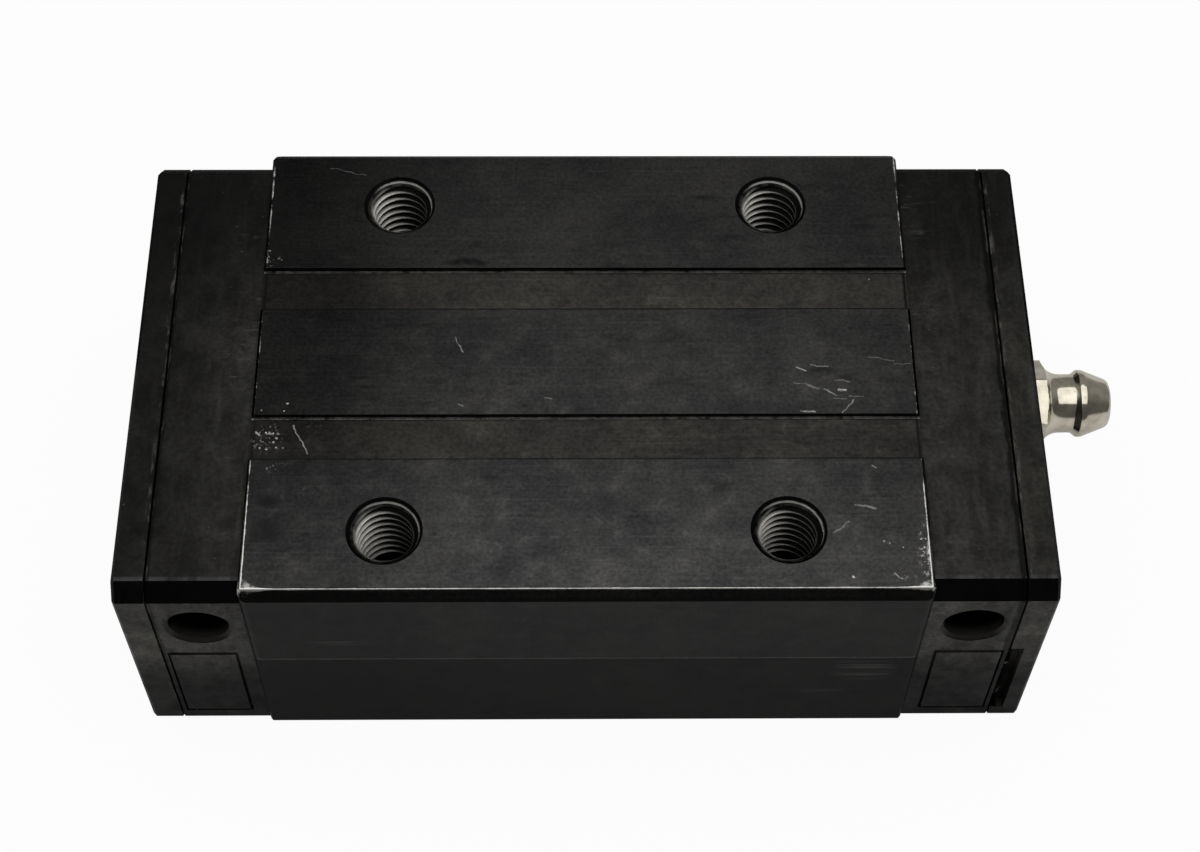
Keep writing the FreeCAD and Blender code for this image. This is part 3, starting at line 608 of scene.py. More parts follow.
def coating_tone(shade, pattern, face):
    """Colour of the black coating where it is whole."""
    tone = shade.mix(shade.rise(pattern["cloud"], *MIDDLE), COATING_DARK, COATING_LIGHT)
    for name, start, full, share, colour in COATING_LAYERS:
        layer = shade.both(shade.fade(pattern[name], start, full), share)
        tone = shade.mix(layer, tone, colour)
    tone = shade.scaled(tone, shade.blend(shade.rise(pattern["grain"], *WIDE), *SPECKLE))
    strip = shade.blend(shade.rise(shade.y, -1.0, 1.0), *STRIP_LIGHTNESS)
    tone = shade.scaled(tone, shade.blend(face.groove, 1.0, strip))
    tone = shade.vector("MULTIPLY", tone, shade.mix(face.groove, (1.0, 1.0, 1.0), STRIP_TINT))

    # Painted shade toward the left end, darker toward the right end, and a painted sheen on the top toward
    # the front
    left = shade.fall(shade.x, *LEFT_REACH)
    least = shade.blend(shade.rise(shade.y, *LEFT_TURN), *LEFT_PAINTED_SHADE)
    tone = shade.scaled(tone, shade.blend(left, 1.0, least))
    tone = shade.scaled(tone, shade.blend(shade.rise(shade.x, *RIGHT_REACH), 1.0, RIGHT_LIGHTNESS))
    # Painted sheen on the top toward the front
    polished = shade.both(face.up, shade.fall(shade.y, *FRONT_REACH))
    tone = shade.scaled(tone, shade.blend(polished, 1.0, FRONT_PAINTED_SHEEN))
    stained = shade.both(face.up, stains(shade, face.flat, STAINS), shade.rise(pattern["blotch"], 0.25, 0.55))
    tone = shade.mix(stained, tone, COATING_STAINED)

    # Painted shade along the far edges of the centre and front lands, where they drop to the groove behind
    # them
    brink_shade = shade.either(
        shade.fall(shade.apart(shade.y, GROOVE_INNER), *BRINK_LINE),
        shade.fall(shade.apart(shade.y, -GROOVE_OUTER), *BRINK_LINE))
    brink_shade = shade.both(face.up, brink_shade, shade.rise(pattern["ragged"], 0.2, 0.5), BRINK_SHADE_DARKNESS)
    tone = shade.mix(brink_shade, tone, BRINK_PAINTED_SHADE)

    # Sides: more even than the top, and darker below the ground band; painted shade on the long chamfers
    tone = shade.mix(shade.blend(face.up, 0.5, 0.0), tone, COATING_SIDE)
    tone = shade.scaled(tone, shade.blend(face.below, 1.0, LOWER_SIDE_LIGHTNESS))
    tone = shade.scaled(tone, shade.blend(face.chamfer, 1.0, CHAMFER_PAINTED_SHADE))

    # Painted shade on the groove walls and inside the mounting holes, and the groove floors darker at their
    # ends
    wall = shade.both(
        face.above_floor,
        shade.fall(shade.z, TOP - 0.04, TOP - 0.01),
        shade.fall(face.spread, GROOVE_OUTER + 0.05, GROOVE_OUTER + SOFT))
    tone = shade.mix(wall, tone, WALL_PAINTED_SHADE)
    # Painted shade inside the mounting holes
    inside = shade.both(
        shade.fall(face.bore, MOUTH_RADIUS - 0.04, MOUTH_RADIUS),
        shade.fall(shade.z, TOP - 0.04, TOP - 0.01))
    tone = shade.mix(inside, tone, HOLE_PAINTED_SHADE)
    tone = shade.mix(shade.both(face.groove, face.end_line), tone, COATING_STRIP_END)
    return shade.scaled(tone, STEEL_LIGHTNESS)


def rubbed_edges(shade, pattern, face):
    """Mask of the edges of the top: the nearer to an edge, the more of the coating is gone."""
    patchy = pattern["patchy"]
    corner = shade.rise(face.length, *CORNER_REACH)
    front_width = shade.blend(corner, shade.blend(patchy, *FRONT_LINE), CORNER_LINE)
    front = shade.fall(shade.apart(shade.y, -LAND_EDGE), 0.0, front_width)
    rear_land = shade.rise(shade.y, GROOVE_OUTER, GROOVE_OUTER + SOFT)
    centre_land = shade.fall(face.spread, GROOVE_INNER, GROOVE_INNER + SOFT)
    front_land = shade.fall(shade.y, -GROOVE_OUTER - SOFT, -GROOVE_OUTER)
    toward_front = shade.rise(face.spread, 12.0, 21.0)
    along = shade.either(
        shade.both(rear_land, shade.blend(patchy, 0.45, 0.85)),
        shade.both(centre_land, 0.62),
        shade.both(front_land, shade.blend(toward_front, shade.blend(patchy, 0.5, 0.85), 1.0)))
    near = shade.both(
        shade.either(front, shade.both(face.end_line, along)),
        shade.rise(shade.z, TOP - 0.32, TOP - 0.2))
    return shade.rise(shade.math("ADD", near, shade.both(pattern["ragged"], 0.9)), 1.02, 1.35)


def groove_foot_highlight(shade, pattern, face):
    """Mask of a painted highlight along the feet of the groove walls, over their whole length."""
    rear = shade.both(
        shade.rise(face.spread, GROOVE_OUTER - FOOT_END, GROOVE_OUTER - FOOT_FULL),
        shade.rise(shade.y, 0.0, SOFT))
    front = shade.both(
        shade.fall(face.spread, GROOVE_INNER + FOOT_FULL, GROOVE_INNER + FOOT_END),
        shade.fall(shade.y, -SOFT, 0.0))
    return shade.both(
        face.groove,
        shade.math("SUBTRACT", 1.0, face.above_floor),
        shade.either(rear, front),
        shade.rise(pattern["ragged"], 0.25, 0.6),
        shade.blend(pattern["patchy"], 0.4, 0.7))


def coating_marks(shade, pattern, face):
    """Mask of the scratches, specks, flakes and rubbed patches on the top."""
    marks = [scratch(shade, face.flat, *mark) for mark in SCRATCHES]
    marks += [speck(shade, face.flat, *mark) for mark in SPECKS]
    marks = shade.both(shade.either(*marks), shade.blend(shade.rise(pattern["fine"], 0.38, 0.6), 0.45, 1.0))
    flakes = shade.both(stains(shade, face.flat, FLAKED), shade.rise(pattern["fine"], 0.55, 0.66))
    patches = shade.both(stains(shade, face.flat, RUBBED), shade.rise(pattern["ragged"], 0.4, 0.62))
    return shade.both(face.up, shade.either(marks, flakes, patches))


def side_marks(shade, pattern, face):
    """Mask of a painted highlight along the lower edge of the ground band, and of the scuffs on the front."""
    band_highlight = shade.both(
        shade.fall(shade.apart(shade.z, BAND_FOOT + 0.05), *BAND_LINE),
        shade.rise(face.spread, SIDE - 2 * SOFT, SIDE - SOFT),
        shade.rise(pattern["ragged"], 0.25, 0.6),
        BAND_HIGHLIGHT_LEVEL)
    scuffs = shade.both(
        shade.either(*[side_scuff(shade, *spot) for spot in SIDE_SCUFFS]),
        shade.fall(shade.y, -22.0, -21.9),
        shade.rise(pattern["streak"], 0.48, 0.66),
        SCUFF_BRIGHTNESS)
    return shade.either(band_highlight, scuffs)


def black_steel():
    """Thin black coating on ground steel, bright where edges and knocks have rubbed through, with painted
    shade and painted highlights in places.
    """
    shade = Shade("black_steel", COATING_PLAIN, roughness=0.32, specular=0.5, metallic=1.0)
    shade.set("Specular Tint", COATING_EDGE_ON)
    pattern = steel_patterns(shade)
    face = steel_faces(shade)
    mouth = shade.both(
        mouth_arc(shade, face.bore),
        shade.rise(pattern["ragged"], 0.22, 0.55),
        MOUTH_BRIGHTNESS)
    # Bare steel where the coating is worn, and the painted highlights along the groove feet and the band edge
    wear_and_highlight = shade.either(
        rubbed_edges(shade, pattern, face),
        coating_marks(shade, pattern, face),
        groove_foot_highlight(shade, pattern, face),
        mouth,
        side_marks(shade, pattern, face))
    shade.set("Base Color", shade.mix(wear_and_highlight, coating_tone(shade, pattern, face), BARE_STEEL_AND_HIGHLIGHT))
    rough = shade.blend(shade.rise(pattern["blotch"], *MIDDLE), 0.36, 0.27)
    rough = shade.blend(shade.both(face.chamfer, shade.rise(shade.y, 0.0, 1.0)), rough, 0.8)
    rough = shade.blend(face.below, rough, 0.4)
    shade.set("Roughness", shade.blend(mouth, shade.blend(wear_and_highlight, rough, 0.34), 0.62))
    relief = shade.math("ADD", shade.both(pattern["streak"], 0.6), pattern["grain"])
    shade.bump(relief, distance=0.003, strength=0.5)
    return shade.material


def moulding_patterns(shade):
    """Noise that the looks of the mouldings are mixed from."""
    return {
        "cloud": shade.noise(shade.sway(0.12, 3.0), scale=0.12, detail=5.0, roughness=0.62),
        "blotch": shade.noise(shade.sway(0.4, 0.8), scale=0.42, detail=6.0, roughness=0.64),
        "smear": shade.noise(shade.stretched(0.9, 0.16, 0.4), scale=1.0, detail=5.0, roughness=0.62),
        "scuff": shade.noise(shade.stretched(0.45, 2.0, 2.0), scale=1.0, detail=5.0, roughness=0.75),
        "speck": shade.noise(shade.place, scale=1.7, detail=2.0, roughness=0.4),
        "flake": shade.noise(shade.place, scale=0.9, detail=4.0, roughness=0.7),
        "grain": shade.noise(shade.place, scale=2.6, detail=4.0, roughness=0.6),
        "ragged": shade.noise(shade.stretched(1.6, 0.4, 0.4), scale=1.0, detail=5.0, roughness=0.7),
    }


def moulding_faces(shade):
    """Masks of the mouldings' faces, and the distances that they come from."""
    normal = shade.parts(shade.node("ShaderNodeNewGeometry").outputs["Normal"])
    length = shade.math("ABSOLUTE", shade.x)
    spread = shade.math("ABSOLUTE", shade.y)
    lying = shade.rise(normal[2], 0.8, 0.97)
    upright = shade.fall(shade.math("ABSOLUTE", normal[2]), 0.3, 0.5)
    notch = shade.both(
        shade.fall(spread, CAP_SIDE - 0.12, CAP_SIDE - 0.06),
        shade.rise(spread, CAP_SIDE - NOTCH_DEPTH - 3 * SOFT, CAP_SIDE - NOTCH_DEPTH - 2 * SOFT),
        shade.rise(length, CAP_END - NOTCH_IN_CAP - 0.05, CAP_END - NOTCH_IN_CAP),
        shade.fall(length, CAP_END + NOTCH_IN_PLATE, CAP_END + NOTCH_IN_PLATE + 0.05),
        shade.rise(shade.z, NOTCH_FOOT - 0.05, NOTCH_FOOT),
        shade.fall(shade.z, NOTCH_TOP, NOTCH_TOP + 0.05))
    return SimpleNamespace(
        length=length,
        spread=spread,
        lying=lying,
        upright=upright,
        open=shade.either(lying, upright),
        notch=notch)


def filmed(shade, pattern, face, colour, film):
    """The cloudy film of handling on the open faces; on the top it is dust. It thins toward the bottom of the
    sides, and as painted shade it thins toward the rear and on the left tops and leaves the sloping faces
    black.
    """
    patch = shade.both(shade.rise(pattern["cloud"], 0.25, 0.7), shade.rise(pattern["blotch"], *MIDDLE))
    patch = shade.either(patch, shade.both(shade.rise(pattern["smear"], 0.4, 0.75), 0.8))
    patch = shade.blend(patch, 0.2, 0.63)
    high = shade.blend(shade.rise(shade.z, 8.0, 15.0), 0.1, 0.9)
    dull = shade.both(face.lying, shade.fall(shade.x, -40.0, -28.0))
    # Painted shade: less film toward the rear and on the left tops, and none on the sloping faces
    film_and_painted_shade = shade.both(
        shade.either(face.lying, shade.both(face.upright, high)),
        patch,
        shade.blend(shade.rise(pattern["grain"], *WIDE), 0.65, 1.25),
        shade.blend(shade.rise(shade.y, -4.0, 20.0), 1.0, 0.25),
        shade.blend(dull, 1.0, 0.3))
    dust = tuple(DUST_SHARE * part for part in film)
    return shade.mix(film_and_painted_shade, colour, shade.mix(face.lying, dust, film))


def scuffed(shade, pattern, face, colour):
    """Scuffs beside the steel, a painted highlight along the brow over the front slope, and specks on the
    top.
    """
    scuff = shade.both(
        face.lying,
        shade.fall(face.length, BODY_END + 1.5, BODY_END + 4.5),
        shade.rise(pattern["scuff"], 0.56, 0.7),
        shade.rise(pattern["cloud"], 0.45, 0.6),
        0.6)
    colour = shade.mix(scuff, colour, SCUFF_GREY)
    # Painted highlight along the brow over the front slope
    brow = shade.both(
        face.lying,
        shade.fall(shade.y, -1.0, 0.0),
        shade.fall(shade.apart(face.spread, CAP_SIDE - CAP_SLOPE - BROW_INSET), 0.05, 0.4),
        shade.rise(pattern["smear"], 0.35, 0.6),
        0.5)
    colour = shade.mix(brow, colour, BROW_HIGHLIGHT)
    specks = shade.both(face.lying, shade.rise(pattern["speck"], 0.75, 0.8), 0.5)
    return shade.mix(specks, colour, SPECK_GREY)


def ported(shade, pattern, face, colour):
    """Painted shade inside the side ports, and dust with painted light on their lower lips."""
    height = shade.math("SUBTRACT", shade.z, PORT_Z)
    squares = shade.squares(shade.math("SUBTRACT", face.length, PORT_X), height)
    port = shade.both(
        shade.fall(squares, (PORT_RADIUS + HAIR) ** 2, (PORT_RADIUS + 3 * HAIR) ** 2),
        shade.fall(face.spread, CAP_SIDE - 0.4, CAP_SIDE - 0.3))
    colour = shade.mix(port, colour, PORT_PAINTED_SHADE)
    lip = shade.both(
        shade.fall(squares, (PORT_RADIUS + PORT_LIP) ** 2, (PORT_RADIUS + PORT_LIP + SOFT) ** 2),
        shade.fall(height, -1.0, -0.3),
        shade.rise(face.spread, CAP_SIDE - 1.6, CAP_SIDE - 0.5),
        shade.blend(pattern["grain"], 0.4, 1.0))
    return shade.mix(lip, colour, PORT_DUST_AND_LIGHT)


def jointed(shade, pattern, face, colour):
    """Joint between cap and plate: a ragged dark line, rubbed places, and notches in painted shade with a few
    flakes.
    """
    gap = shade.math("SUBTRACT", CAP_END, face.length)
    reach = shade.both(
        shade.blend(shade.rise(shade.x, -1.0, 1.0), 0.55, 1.0),
        shade.blend(pattern["ragged"], 0.0, 1.1))
    seam = shade.both(
        shade.rise(gap, -HAIR, HAIR),
        shade.fall(gap, reach, shade.math("ADD", reach, 0.3)),
        0.85)
    colour = shade.mix(seam, colour, JOINT_BLACK_AND_NOTCH_SHADE)
    rubbed = shade.both(
        shade.fall(shade.apart(face.length, CAP_END), 0.12, 0.5),
        shade.rise(pattern["ragged"], 0.5, 0.64),
        face.open,
        0.55)
    colour = shade.mix(rubbed, colour, JOINT_RUBBED)
    flake = shade.rise(pattern["flake"], 0.6, 0.68)
    # Painted shade in the notches, with a few flakes
    dark = shade.both(face.notch, shade.fall(face.length, CAP_END + NOTCH_SHADE_REACH, CAP_END + NOTCH_SHADE_REACH + 0.3))
    return shade.mix(dark, colour, shade.mix(flake, JOINT_BLACK_AND_NOTCH_SHADE, NOTCH_FLAKE))


def black_moulding(name, tone, film):
    """Black moulding under a cloudy film from handling, with its joint rubbed here and there."""
    shade = Shade(name, tone, roughness=0.42, specular=0.055)
    pattern = moulding_patterns(shade)
    face = moulding_faces(shade)
    blotch = shade.rise(pattern["blotch"], *MIDDLE)
    darker, lighter = [tuple(share * part for part in tone) for share in MOULDING_SPREAD]
    colour = shade.mix(blotch, darker, lighter)
    colour = filmed(shade, pattern, face, colour, film)
    colour = scuffed(shade, pattern, face, colour)
    colour = ported(shade, pattern, face, colour)
    colour = jointed(shade, pattern, face, colour)
    shade.set("Base Color", colour)
    cloud = shade.rise(pattern["cloud"], *WIDE)
    smooth = shade.math("ADD", shade.both(cloud, 0.4), shade.both(blotch, 0.6))
    slope = shade.blend(shade.rise(shade.y, -1.0, 1.0), 0.36, 0.85)
    rough = shade.blend(face.open, slope, shade.blend(smooth, 0.58, 0.3))
    shade.set("Roughness", shade.blend(face.notch, rough, 0.95))
    shade.bump(pattern["grain"], distance=0.012, strength=0.5)
    return shade.material


def bright_metal(name, colour, polished, dull, scale, tarnish):
    """Plain or plated metal with uneven polish; tarnish is the share of colour left where dull."""
    shade = Shade(name, colour, roughness=polished, specular=0.5, metallic=1.0)
    cloud = shade.noise(shade.place, scale, detail=4.0, roughness=0.6)
    tarnished = tuple(tarnish * part for part in colour)
    shade.set("Base Color", shade.mix(shade.rise(cloud, 0.25, 0.7), tarnished, colour))
    shade.set("Roughness", shade.blend(cloud, polished, dull))
    shade.bump(shade.noise(shade.place, scale=9.0, detail=2.0), distance=0.002, strength=0.4)
    return shade.material


def thread_metal():
    """Cut thread: bare steel on the crests, most at their left as a painted highlight, black on flanks and in
    roots.
    """
    shade = Shade("thread_steel", THREAD_PLAIN, roughness=0.5, specular=0.5, metallic=1.0)
    cloud = shade.noise(shade.place, scale=1.4, detail=4.0, roughness=0.6)
    radius = hole_radius(shade)
    # Painted highlight: the crests are barer and wider at the left of each hole
    left = shade.fall(hole_offset(shade)[0], -2.2, 1.6)
    bare_end = shade.blend(left, THREAD_CREST + 0.08, THREAD_CREST + 0.36)
    bare = shade.both(
        shade.fall(radius, THREAD_CREST + 0.01, bare_end),
        shade.blend(shade.rise(cloud, *MIDDLE), 0.6, 1.0),
        shade.blend(left, 0.14, 1.0))
    bare = shade.either(bare, shade.both(mouth_arc(shade, radius), MOUTH_BRIGHTNESS))
    cone = shade.both(shade.rise(shade.z, TOP - 0.85, TOP - 0.75), shade.rise(cloud, 0.35, 0.65))
    dark = shade.mix(cone, THREAD_BLACK, THREAD_CONE)
    shade.set("Base Color", shade.mix(bare, dark, THREAD_BARE_AND_HIGHLIGHT))
    shade.set("Roughness", shade.blend(cloud, 0.42, 0.58))
    shade.bump(shade.noise(shade.place, scale=9.0, detail=2.0), distance=0.002, strength=0.4)
    return shade.material


def rubber():
    """Soft black rubber with a faint bloom."""
    shade = Shade("seal_rubber", RUBBER_BLACK, roughness=0.7, specular=0.2)
    cloud = shade.noise(shade.place, scale=0.6, detail=4.0, roughness=0.6)
    shade.set("Base Color", shade.mix(cloud, RUBBER_DARK, RUBBER_BLOOM))
    shade.set("Roughness", shade.blend(cloud, 0.6, 0.78))
    shade.bump(shade.noise(shade.place, scale=5.0, detail=3.0), distance=0.01, strength=0.4)
    return shade.material


def pale_plastic():
    """Natural plastic of the return guides."""
    shade = Shade("guide_plastic", GUIDE_PLAIN, roughness=0.45, specular=0.4)
    cloud = shade.noise(shade.place, scale=0.5, detail=3.0)
    shade.set("Base Color", shade.mix(cloud, GUIDE_DARK, GUIDE_PALE))
    shade.set("Roughness", shade.blend(cloud, 0.38, 0.52))
    return shade.material


def make_piece(name, mesh, body, material, sharp=35.0):
    """A new piece of the model from a bmesh given in metres, riding on a body."""
    bmesh.ops.recalc_face_normals(mesh, faces=mesh.faces)
    data = bpy.data.meshes.new(name)
    mesh.to_mesh(data)
    mesh.free()
    data.polygons.foreach_set("use_smooth", [True] * len(data.polygons))
    data.set_sharp_from_angle(angle=math.radians(sharp))
    data.materials.append(material)
    piece = bpy.data.objects.new(name, data)
    bpy.context.scene.collection.objects.link(piece)
    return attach(piece, body)


def tube(rings, closed):
    """Skin over rings of points: closed joins the last ring to the first, else both get a cover."""
    mesh = bmesh.new()
    loops = [[mesh.verts.new(Vector(point) * MM) for point in ring] for ring in rings]
    following = loops[1:] + loops[:1] if closed else loops[1:]
    for lower, upper in zip(loops, following):
        count = len(lower)
        for k in range(count):
            mesh.faces.new((lower[k], lower[(k + 1) % count], upper[(k + 1) % count], upper[k]))
    if not closed:
        mesh.faces.new(loops[0])
        mesh.faces.new(loops[-1])
    return mesh


def hole_thread(x, y):
    """Internal thread of one mounting hole, a ridge wound down its wall and cut off by the mouth's cone."""
    turns = (HOLE_DEPTH - THREAD_START - THREAD_PITCH / 2) / THREAD_PITCH
    count = int(turns * THREAD_STEPS)
    wall = HOLE_RADIUS + THREAD_SINK
    flank = THREAD_FLANK * THREAD_PITCH
    flat = THREAD_FLAT * THREAD_PITCH
    shares = [k / THREAD_FLANK_STEPS for k in range(THREAD_FLANK_STEPS + 1)]
    upper = [(wall + (THREAD_CREST - wall) * share, flank + (flat - flank) * share) for share in shares]
    section = upper + [(radius, -rise) for radius, rise in reversed(upper)]
    rings = []
    for k in range(count + 1):
        angle = 2 * math.pi * k / THREAD_STEPS
        height = TOP - THREAD_START - THREAD_PITCH * k / THREAD_STEPS
        grow = min(1.0, (count - k + 2) / (THREAD_RUNOUT * THREAD_STEPS))
        ring = []
        for radius, rise in section:
            z = min(height + rise, TOP - 2 * THREAD_SINK)
            reach = max(wall - (wall - radius) * grow, MOUTH_RADIUS + THREAD_SINK - (TOP - z))
            ring.append((x + reach * math.cos(angle), y + reach * math.sin(angle), z))
        rings.append(ring)
    return tube(rings, closed=False)


def ball_places(node):
    """Centre and radius of every ball of a node, from the corners of its solids."""
    mesh = bmesh.new()
    mesh.from_mesh(NODES[node].data)
    bmesh.ops.remove_doubles(mesh, verts=mesh.verts, dist=0.01 * MM)
    waiting = set(mesh.verts)
    places = []
    while waiting:
        group = {waiting.pop()}
        edge = set(group)
        while edge:
            edge = {e.other_vert(v) for v in edge for e in v.link_edges} - group
            group |= edge
        waiting -= group
        centre = sum((v.co for v in group), Vector()) / len(group)
        places.append((centre, max((v.co - centre).length for v in group)))
    mesh.free()
    return places


def smooth_balls(node, fineness):
    """True spheres in place of the flat-faced balls of one node."""
    mesh = bmesh.new()
    for centre, radius in ball_places(node):
        bmesh.ops.create_icosphere(
            mesh, subdivisions=fineness, radius=radius, matrix=Matrix.Translation(centre))
    return mesh


def nipple_outline():
    """Outside and inside of the nipple as (distance from its seat, radius), all round once."""
    points = [
        (0.0, NIPPLE_SHANK),
        (0.0, NIPPLE_CORNER - NIPPLE_CORNER_BREAK),
        (NIPPLE_CORNER_BREAK, NIPPLE_CORNER),
        (NIPPLE_HEX_END, NIPPLE_CORNER),
    ]
    fillet_length = NIPPLE_NECK_START - NIPPLE_HEX_END
    fillet_drop = NIPPLE_CORNER - NIPPLE_NECK
    for k in range(1, NIPPLE_FILLET_STEPS + 1):
        angle = math.pi / 2 * k / NIPPLE_FILLET_STEPS
        points.append((
            NIPPLE_NECK_START - fillet_length * math.cos(angle),
            NIPPLE_CORNER - fillet_drop * math.sin(angle)))
    return points + NIPPLE_HEAD_OUTLINE + NIPPLE_BORE_OUTLINE + NIPPLE_SHANK_OUTLINE


def nipple_mesh():
    """Nipple with a hexagon cut into its turned blank."""
    rings = []
    for distance, radius in nipple_outline():
        ring = []
        for k in range(NIPPLE_SIDES):
            angle = 2 * math.pi * k / NIPPLE_SIDES
            off = (angle % (math.pi / 3)) - math.pi / 6
            limit = NIPPLE_APOTHEM / math.cos(math.pi / 6 - abs(off))
            reach = min(radius, limit)
            ring.append((
                NIPPLE_SEAT + distance,
                NIPPLE_AXIS.y + reach * math.cos(angle),
                NIPPLE_AXIS.z + reach * math.sin(angle)))
        rings.append(ring)
    return tube(rings, closed=True)


def spring_mesh():
    """Coil of round wire between the seat and the check ball."""
    wire = SPRING_WIRE / 2
    coil = SPRING_HIGH.y - wire
    start = SPRING_LOW.x + wire
    end = SPRING_HIGH.x - wire
    count = SPRING_TURNS * SPRING_STEPS
    rings = []
    for k in range(count + 1):
        turn = 2 * math.pi * k / SPRING_STEPS
        middle = start + (end - start) * k / count
        ring = []
        for j in range(SPRING_SIDES):
            angle = 2 * math.pi * j / SPRING_SIDES
            reach = coil + wire * math.cos(angle)
            ring.append((
                middle + wire * math.sin(angle),
                NIPPLE_AXIS.y + reach * math.cos(turn),
                NIPPLE_AXIS.z + reach * math.sin(turn)))
        rings.append(ring)
    return tube(rings, closed=False)


def paint(material, *nodes):
    """Gives CAD nodes their material."""
    for node in nodes:
        slots = NODES[node].data.materials
        slots.clear()
        slots.append(material)


def look_from(azimuth, elevation, roll):
    """Turn of a camera that looks at the object from an azimuth and elevation."""
    a, e, r = (math.radians(angle) for angle in (azimuth, elevation, roll))
    back = Vector((math.sin(a) * math.cos(e), -math.cos(a) * math.cos(e), math.sin(e)))
    right = Vector((math.cos(a), math.sin(a), 0.0))
    up = back.cross(right)
    turned = math.cos(r) * right + math.sin(r) * up
    raised = math.cos(r) * up - math.sin(r) * right
    return Matrix((turned, raised, back)).transposed()


def make_camera():
    """Camera in the photograph's place."""
    data = bpy.data.cameras.new("camera")
    data.sensor_fit = "HORIZONTAL"
    data.sensor_width = SENSOR_WIDTH
    data.lens = CAMERA_FOCAL_PIXELS * SENSOR_WIDTH / PHOTO_WIDTH
    data.clip_start, data.clip_end = [distance * MM for distance in CAMERA_CLIP]
    camera = bpy.data.objects.new("camera", data)
    turn = look_from(CAMERA_AZIMUTH, CAMERA_ELEVATION, CAMERA_ROLL)
    camera.matrix_world = Matrix.Translation(CAMERA_PLACE * MM) @ turn.to_4x4()
    bpy.context.scene.collection.objects.link(camera)
    bpy.context.scene.camera = camera


def floor_material():
    """Pale matte floor, white where it is seen or mirrored, that keeps a faint shadow."""
    material = bpy.data.materials.new("floor")
    material.use_nodes = True
    tree = material.node_tree
    tree.nodes.clear()
    matte = tree.nodes.new("ShaderNodeBsdfDiffuse")
    matte.inputs["Color"].default_value = (FLOOR_GREY, FLOOR_GREY, FLOOR_GREY, 1.0)
    glow = tree.nodes.new("ShaderNodeEmission")
    glow.inputs["Color"].default_value = (1.0, 1.0, 1.0, 1.0)
    path = tree.nodes.new("ShaderNodeLightPath")
    share = None
    for name, level in FLOOR_WHITENESS.items():
        part = tree.nodes.new("ShaderNodeMath")
        part.operation = "MULTIPLY_ADD"
        part.inputs[1].default_value = level
        part.inputs[2].default_value = 0.0
        tree.links.new(path.outputs[name], part.inputs[0])
        if share:
            tree.links.new(share, part.inputs[2])
        share = part.outputs[0]
    both = tree.nodes.new("ShaderNodeMixShader")
    output = tree.nodes.new("ShaderNodeOutputMaterial")
    tree.links.new(share, both.inputs[0])
    tree.links.new(matte.outputs[0], both.inputs[1])
    tree.links.new(glow.outputs[0], both.inputs[2])
    tree.links.new(both.outputs[0], output.inputs["Surface"])
    return material


def make_floor():
    """Floor just under the block's feet."""
    mesh = bmesh.new()
    bmesh.ops.create_grid(mesh, x_segments=1, y_segments=1, size=FLOOR_REACH * MM)
    data = bpy.data.meshes.new("floor")
    mesh.to_mesh(data)
    mesh.free()
    data.materials.append(floor_material())
    floor = bpy.data.objects.new("floor", data)
    floor.location.z = -FLOOR_DROP * MM
    bpy.context.scene.collection.objects.link(floor)


def make_world():
    """Dim room, darker in front of the object, white where the camera sees it."""
    world = bpy.data.worlds.new("studio")
    bpy.context.scene.world = world
    world.use_nodes = True
    tree = world.node_tree
    tree.nodes.clear()
    coordinate = tree.nodes.new("ShaderNodeTexCoord")
    parts = tree.nodes.new("ShaderNodeSeparateXYZ")
    ramp = tree.nodes.new("ShaderNodeMapRange")
    ramp.interpolation_type = "SMOOTHSTEP"
    ramp.inputs["From Min"].default_value, ramp.inputs["From Max"].default_value = ROOM_TURN
    ramp.inputs["To Min"].default_value = ROOM_FRONT_LEVEL
    ramp.inputs["To Max"].default_value = ROOM_LEVEL
    path = tree.nodes.new("ShaderNodeLightPath")
    level = tree.nodes.new("ShaderNodeMath")
    level.operation = "MAXIMUM"
    background = tree.nodes.new("ShaderNodeBackground")
    background.inputs["Color"].default_value = (*ROOM_TINT, 1.0)
    output = tree.nodes.new("ShaderNodeOutputWorld")
    tree.links.new(coordinate.outputs["Generated"], parts.inputs[0])
    tree.links.new(parts.outputs["Y"], ramp.inputs["Value"])
    tree.links.new(ramp.outputs["Result"], level.inputs[0])
    tree.links.new(path.outputs["Is Camera Ray"], level.inputs[1])
    tree.links.new(level.outputs[0], background.inputs["Strength"])
    tree.links.new(background.outputs[0], output.inputs["Surface"])


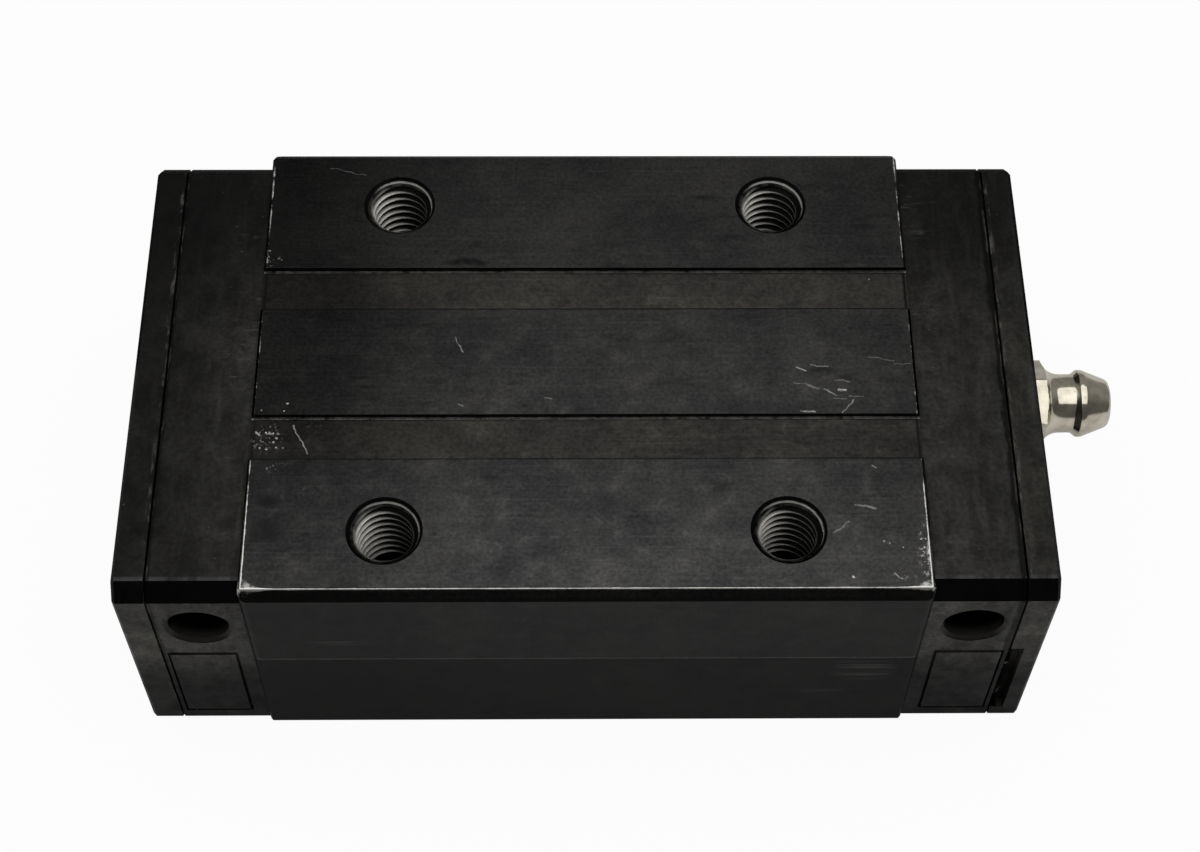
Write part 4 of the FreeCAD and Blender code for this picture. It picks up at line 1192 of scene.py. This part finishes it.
def make_lamp():
    """Flat soft box that faces straight down."""
    data = bpy.data.lights.new("overhead_lamp", "AREA")
    data.shape = "RECTANGLE"
    data.size = LAMP_WIDTH * MM
    data.size_y = LAMP_DEPTH * MM
    data.energy = LAMP_RADIANCE * math.pi * data.size * data.size_y
    lamp = bpy.data.objects.new("overhead_lamp", data)
    lamp.location = LAMP_PLACE * MM
    bpy.context.scene.collection.objects.link(lamp)


bpy.context.scene.view_settings.view_transform = "Standard"

steel = black_steel()
cap_plastic = black_moulding("cap_plastic", CAP_BLACK, CAP_FILM)
plate_black = black_moulding("seal_plate", PLATE_BLACK, PLATE_FILM)
black_rubber = rubber()
strip_steel = bright_metal("strip_steel", *STRIP_STEEL)
screw_steel = bright_metal("screw_steel", *SCREW_STEEL)
ball_steel = bright_metal("ball_steel", *BALL_STEEL)
nipple_plating = bright_metal("nipple_plating", *NIPPLE_PLATING)
thread_steel = thread_metal()
guide_plastic = pale_plastic()

paint(steel, "block_body")
paint(cap_plastic, "end_cap_left", "end_cap_right")
paint(plate_black, "end_seal_plate_left", "end_seal_plate_right")
paint(black_rubber, "end_seal_lip_left", "end_seal_lip_right", "bottom_seal_front", "bottom_seal_rear")
paint(strip_steel, "ball_retainer_front", "ball_retainer_rear")
paint(screw_steel, "end_screws", "port_plug")
paint(guide_plastic, *[node for node in NODES if node.startswith("return_guide")])

for column, side in (("left", -1), ("right", 1)):
    for row, depth in (("front", -1), ("rear", 1)):
        thread = hole_thread(side * HOLE_X, depth * HOLE_Y)
        make_piece("hole_thread_" + column + "_" + row, thread, "block", thread_steel)

for node in [name for name in NODES if name.startswith("balls_")]:
    balls = smooth_balls(node, BALL_FINENESS)
    piece = make_piece("smooth_" + node, balls, "block", ball_steel)
    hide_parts(node)
check_mesh = smooth_balls("nipple_check_ball", CHECK_BALL_FINENESS)
check_ball = make_piece("smooth_check_ball", check_mesh, "check_ball", ball_steel)
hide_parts("nipple_check_ball")
nipple = make_piece("smooth_grease_nipple", nipple_mesh(), "block", nipple_plating)
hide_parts("grease_nipple")
spring = make_piece("smooth_nipple_spring", spring_mesh(), "block", strip_steel)
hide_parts("nipple_spring")
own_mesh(spring)

make_floor()
make_world()
make_lamp()
make_camera()
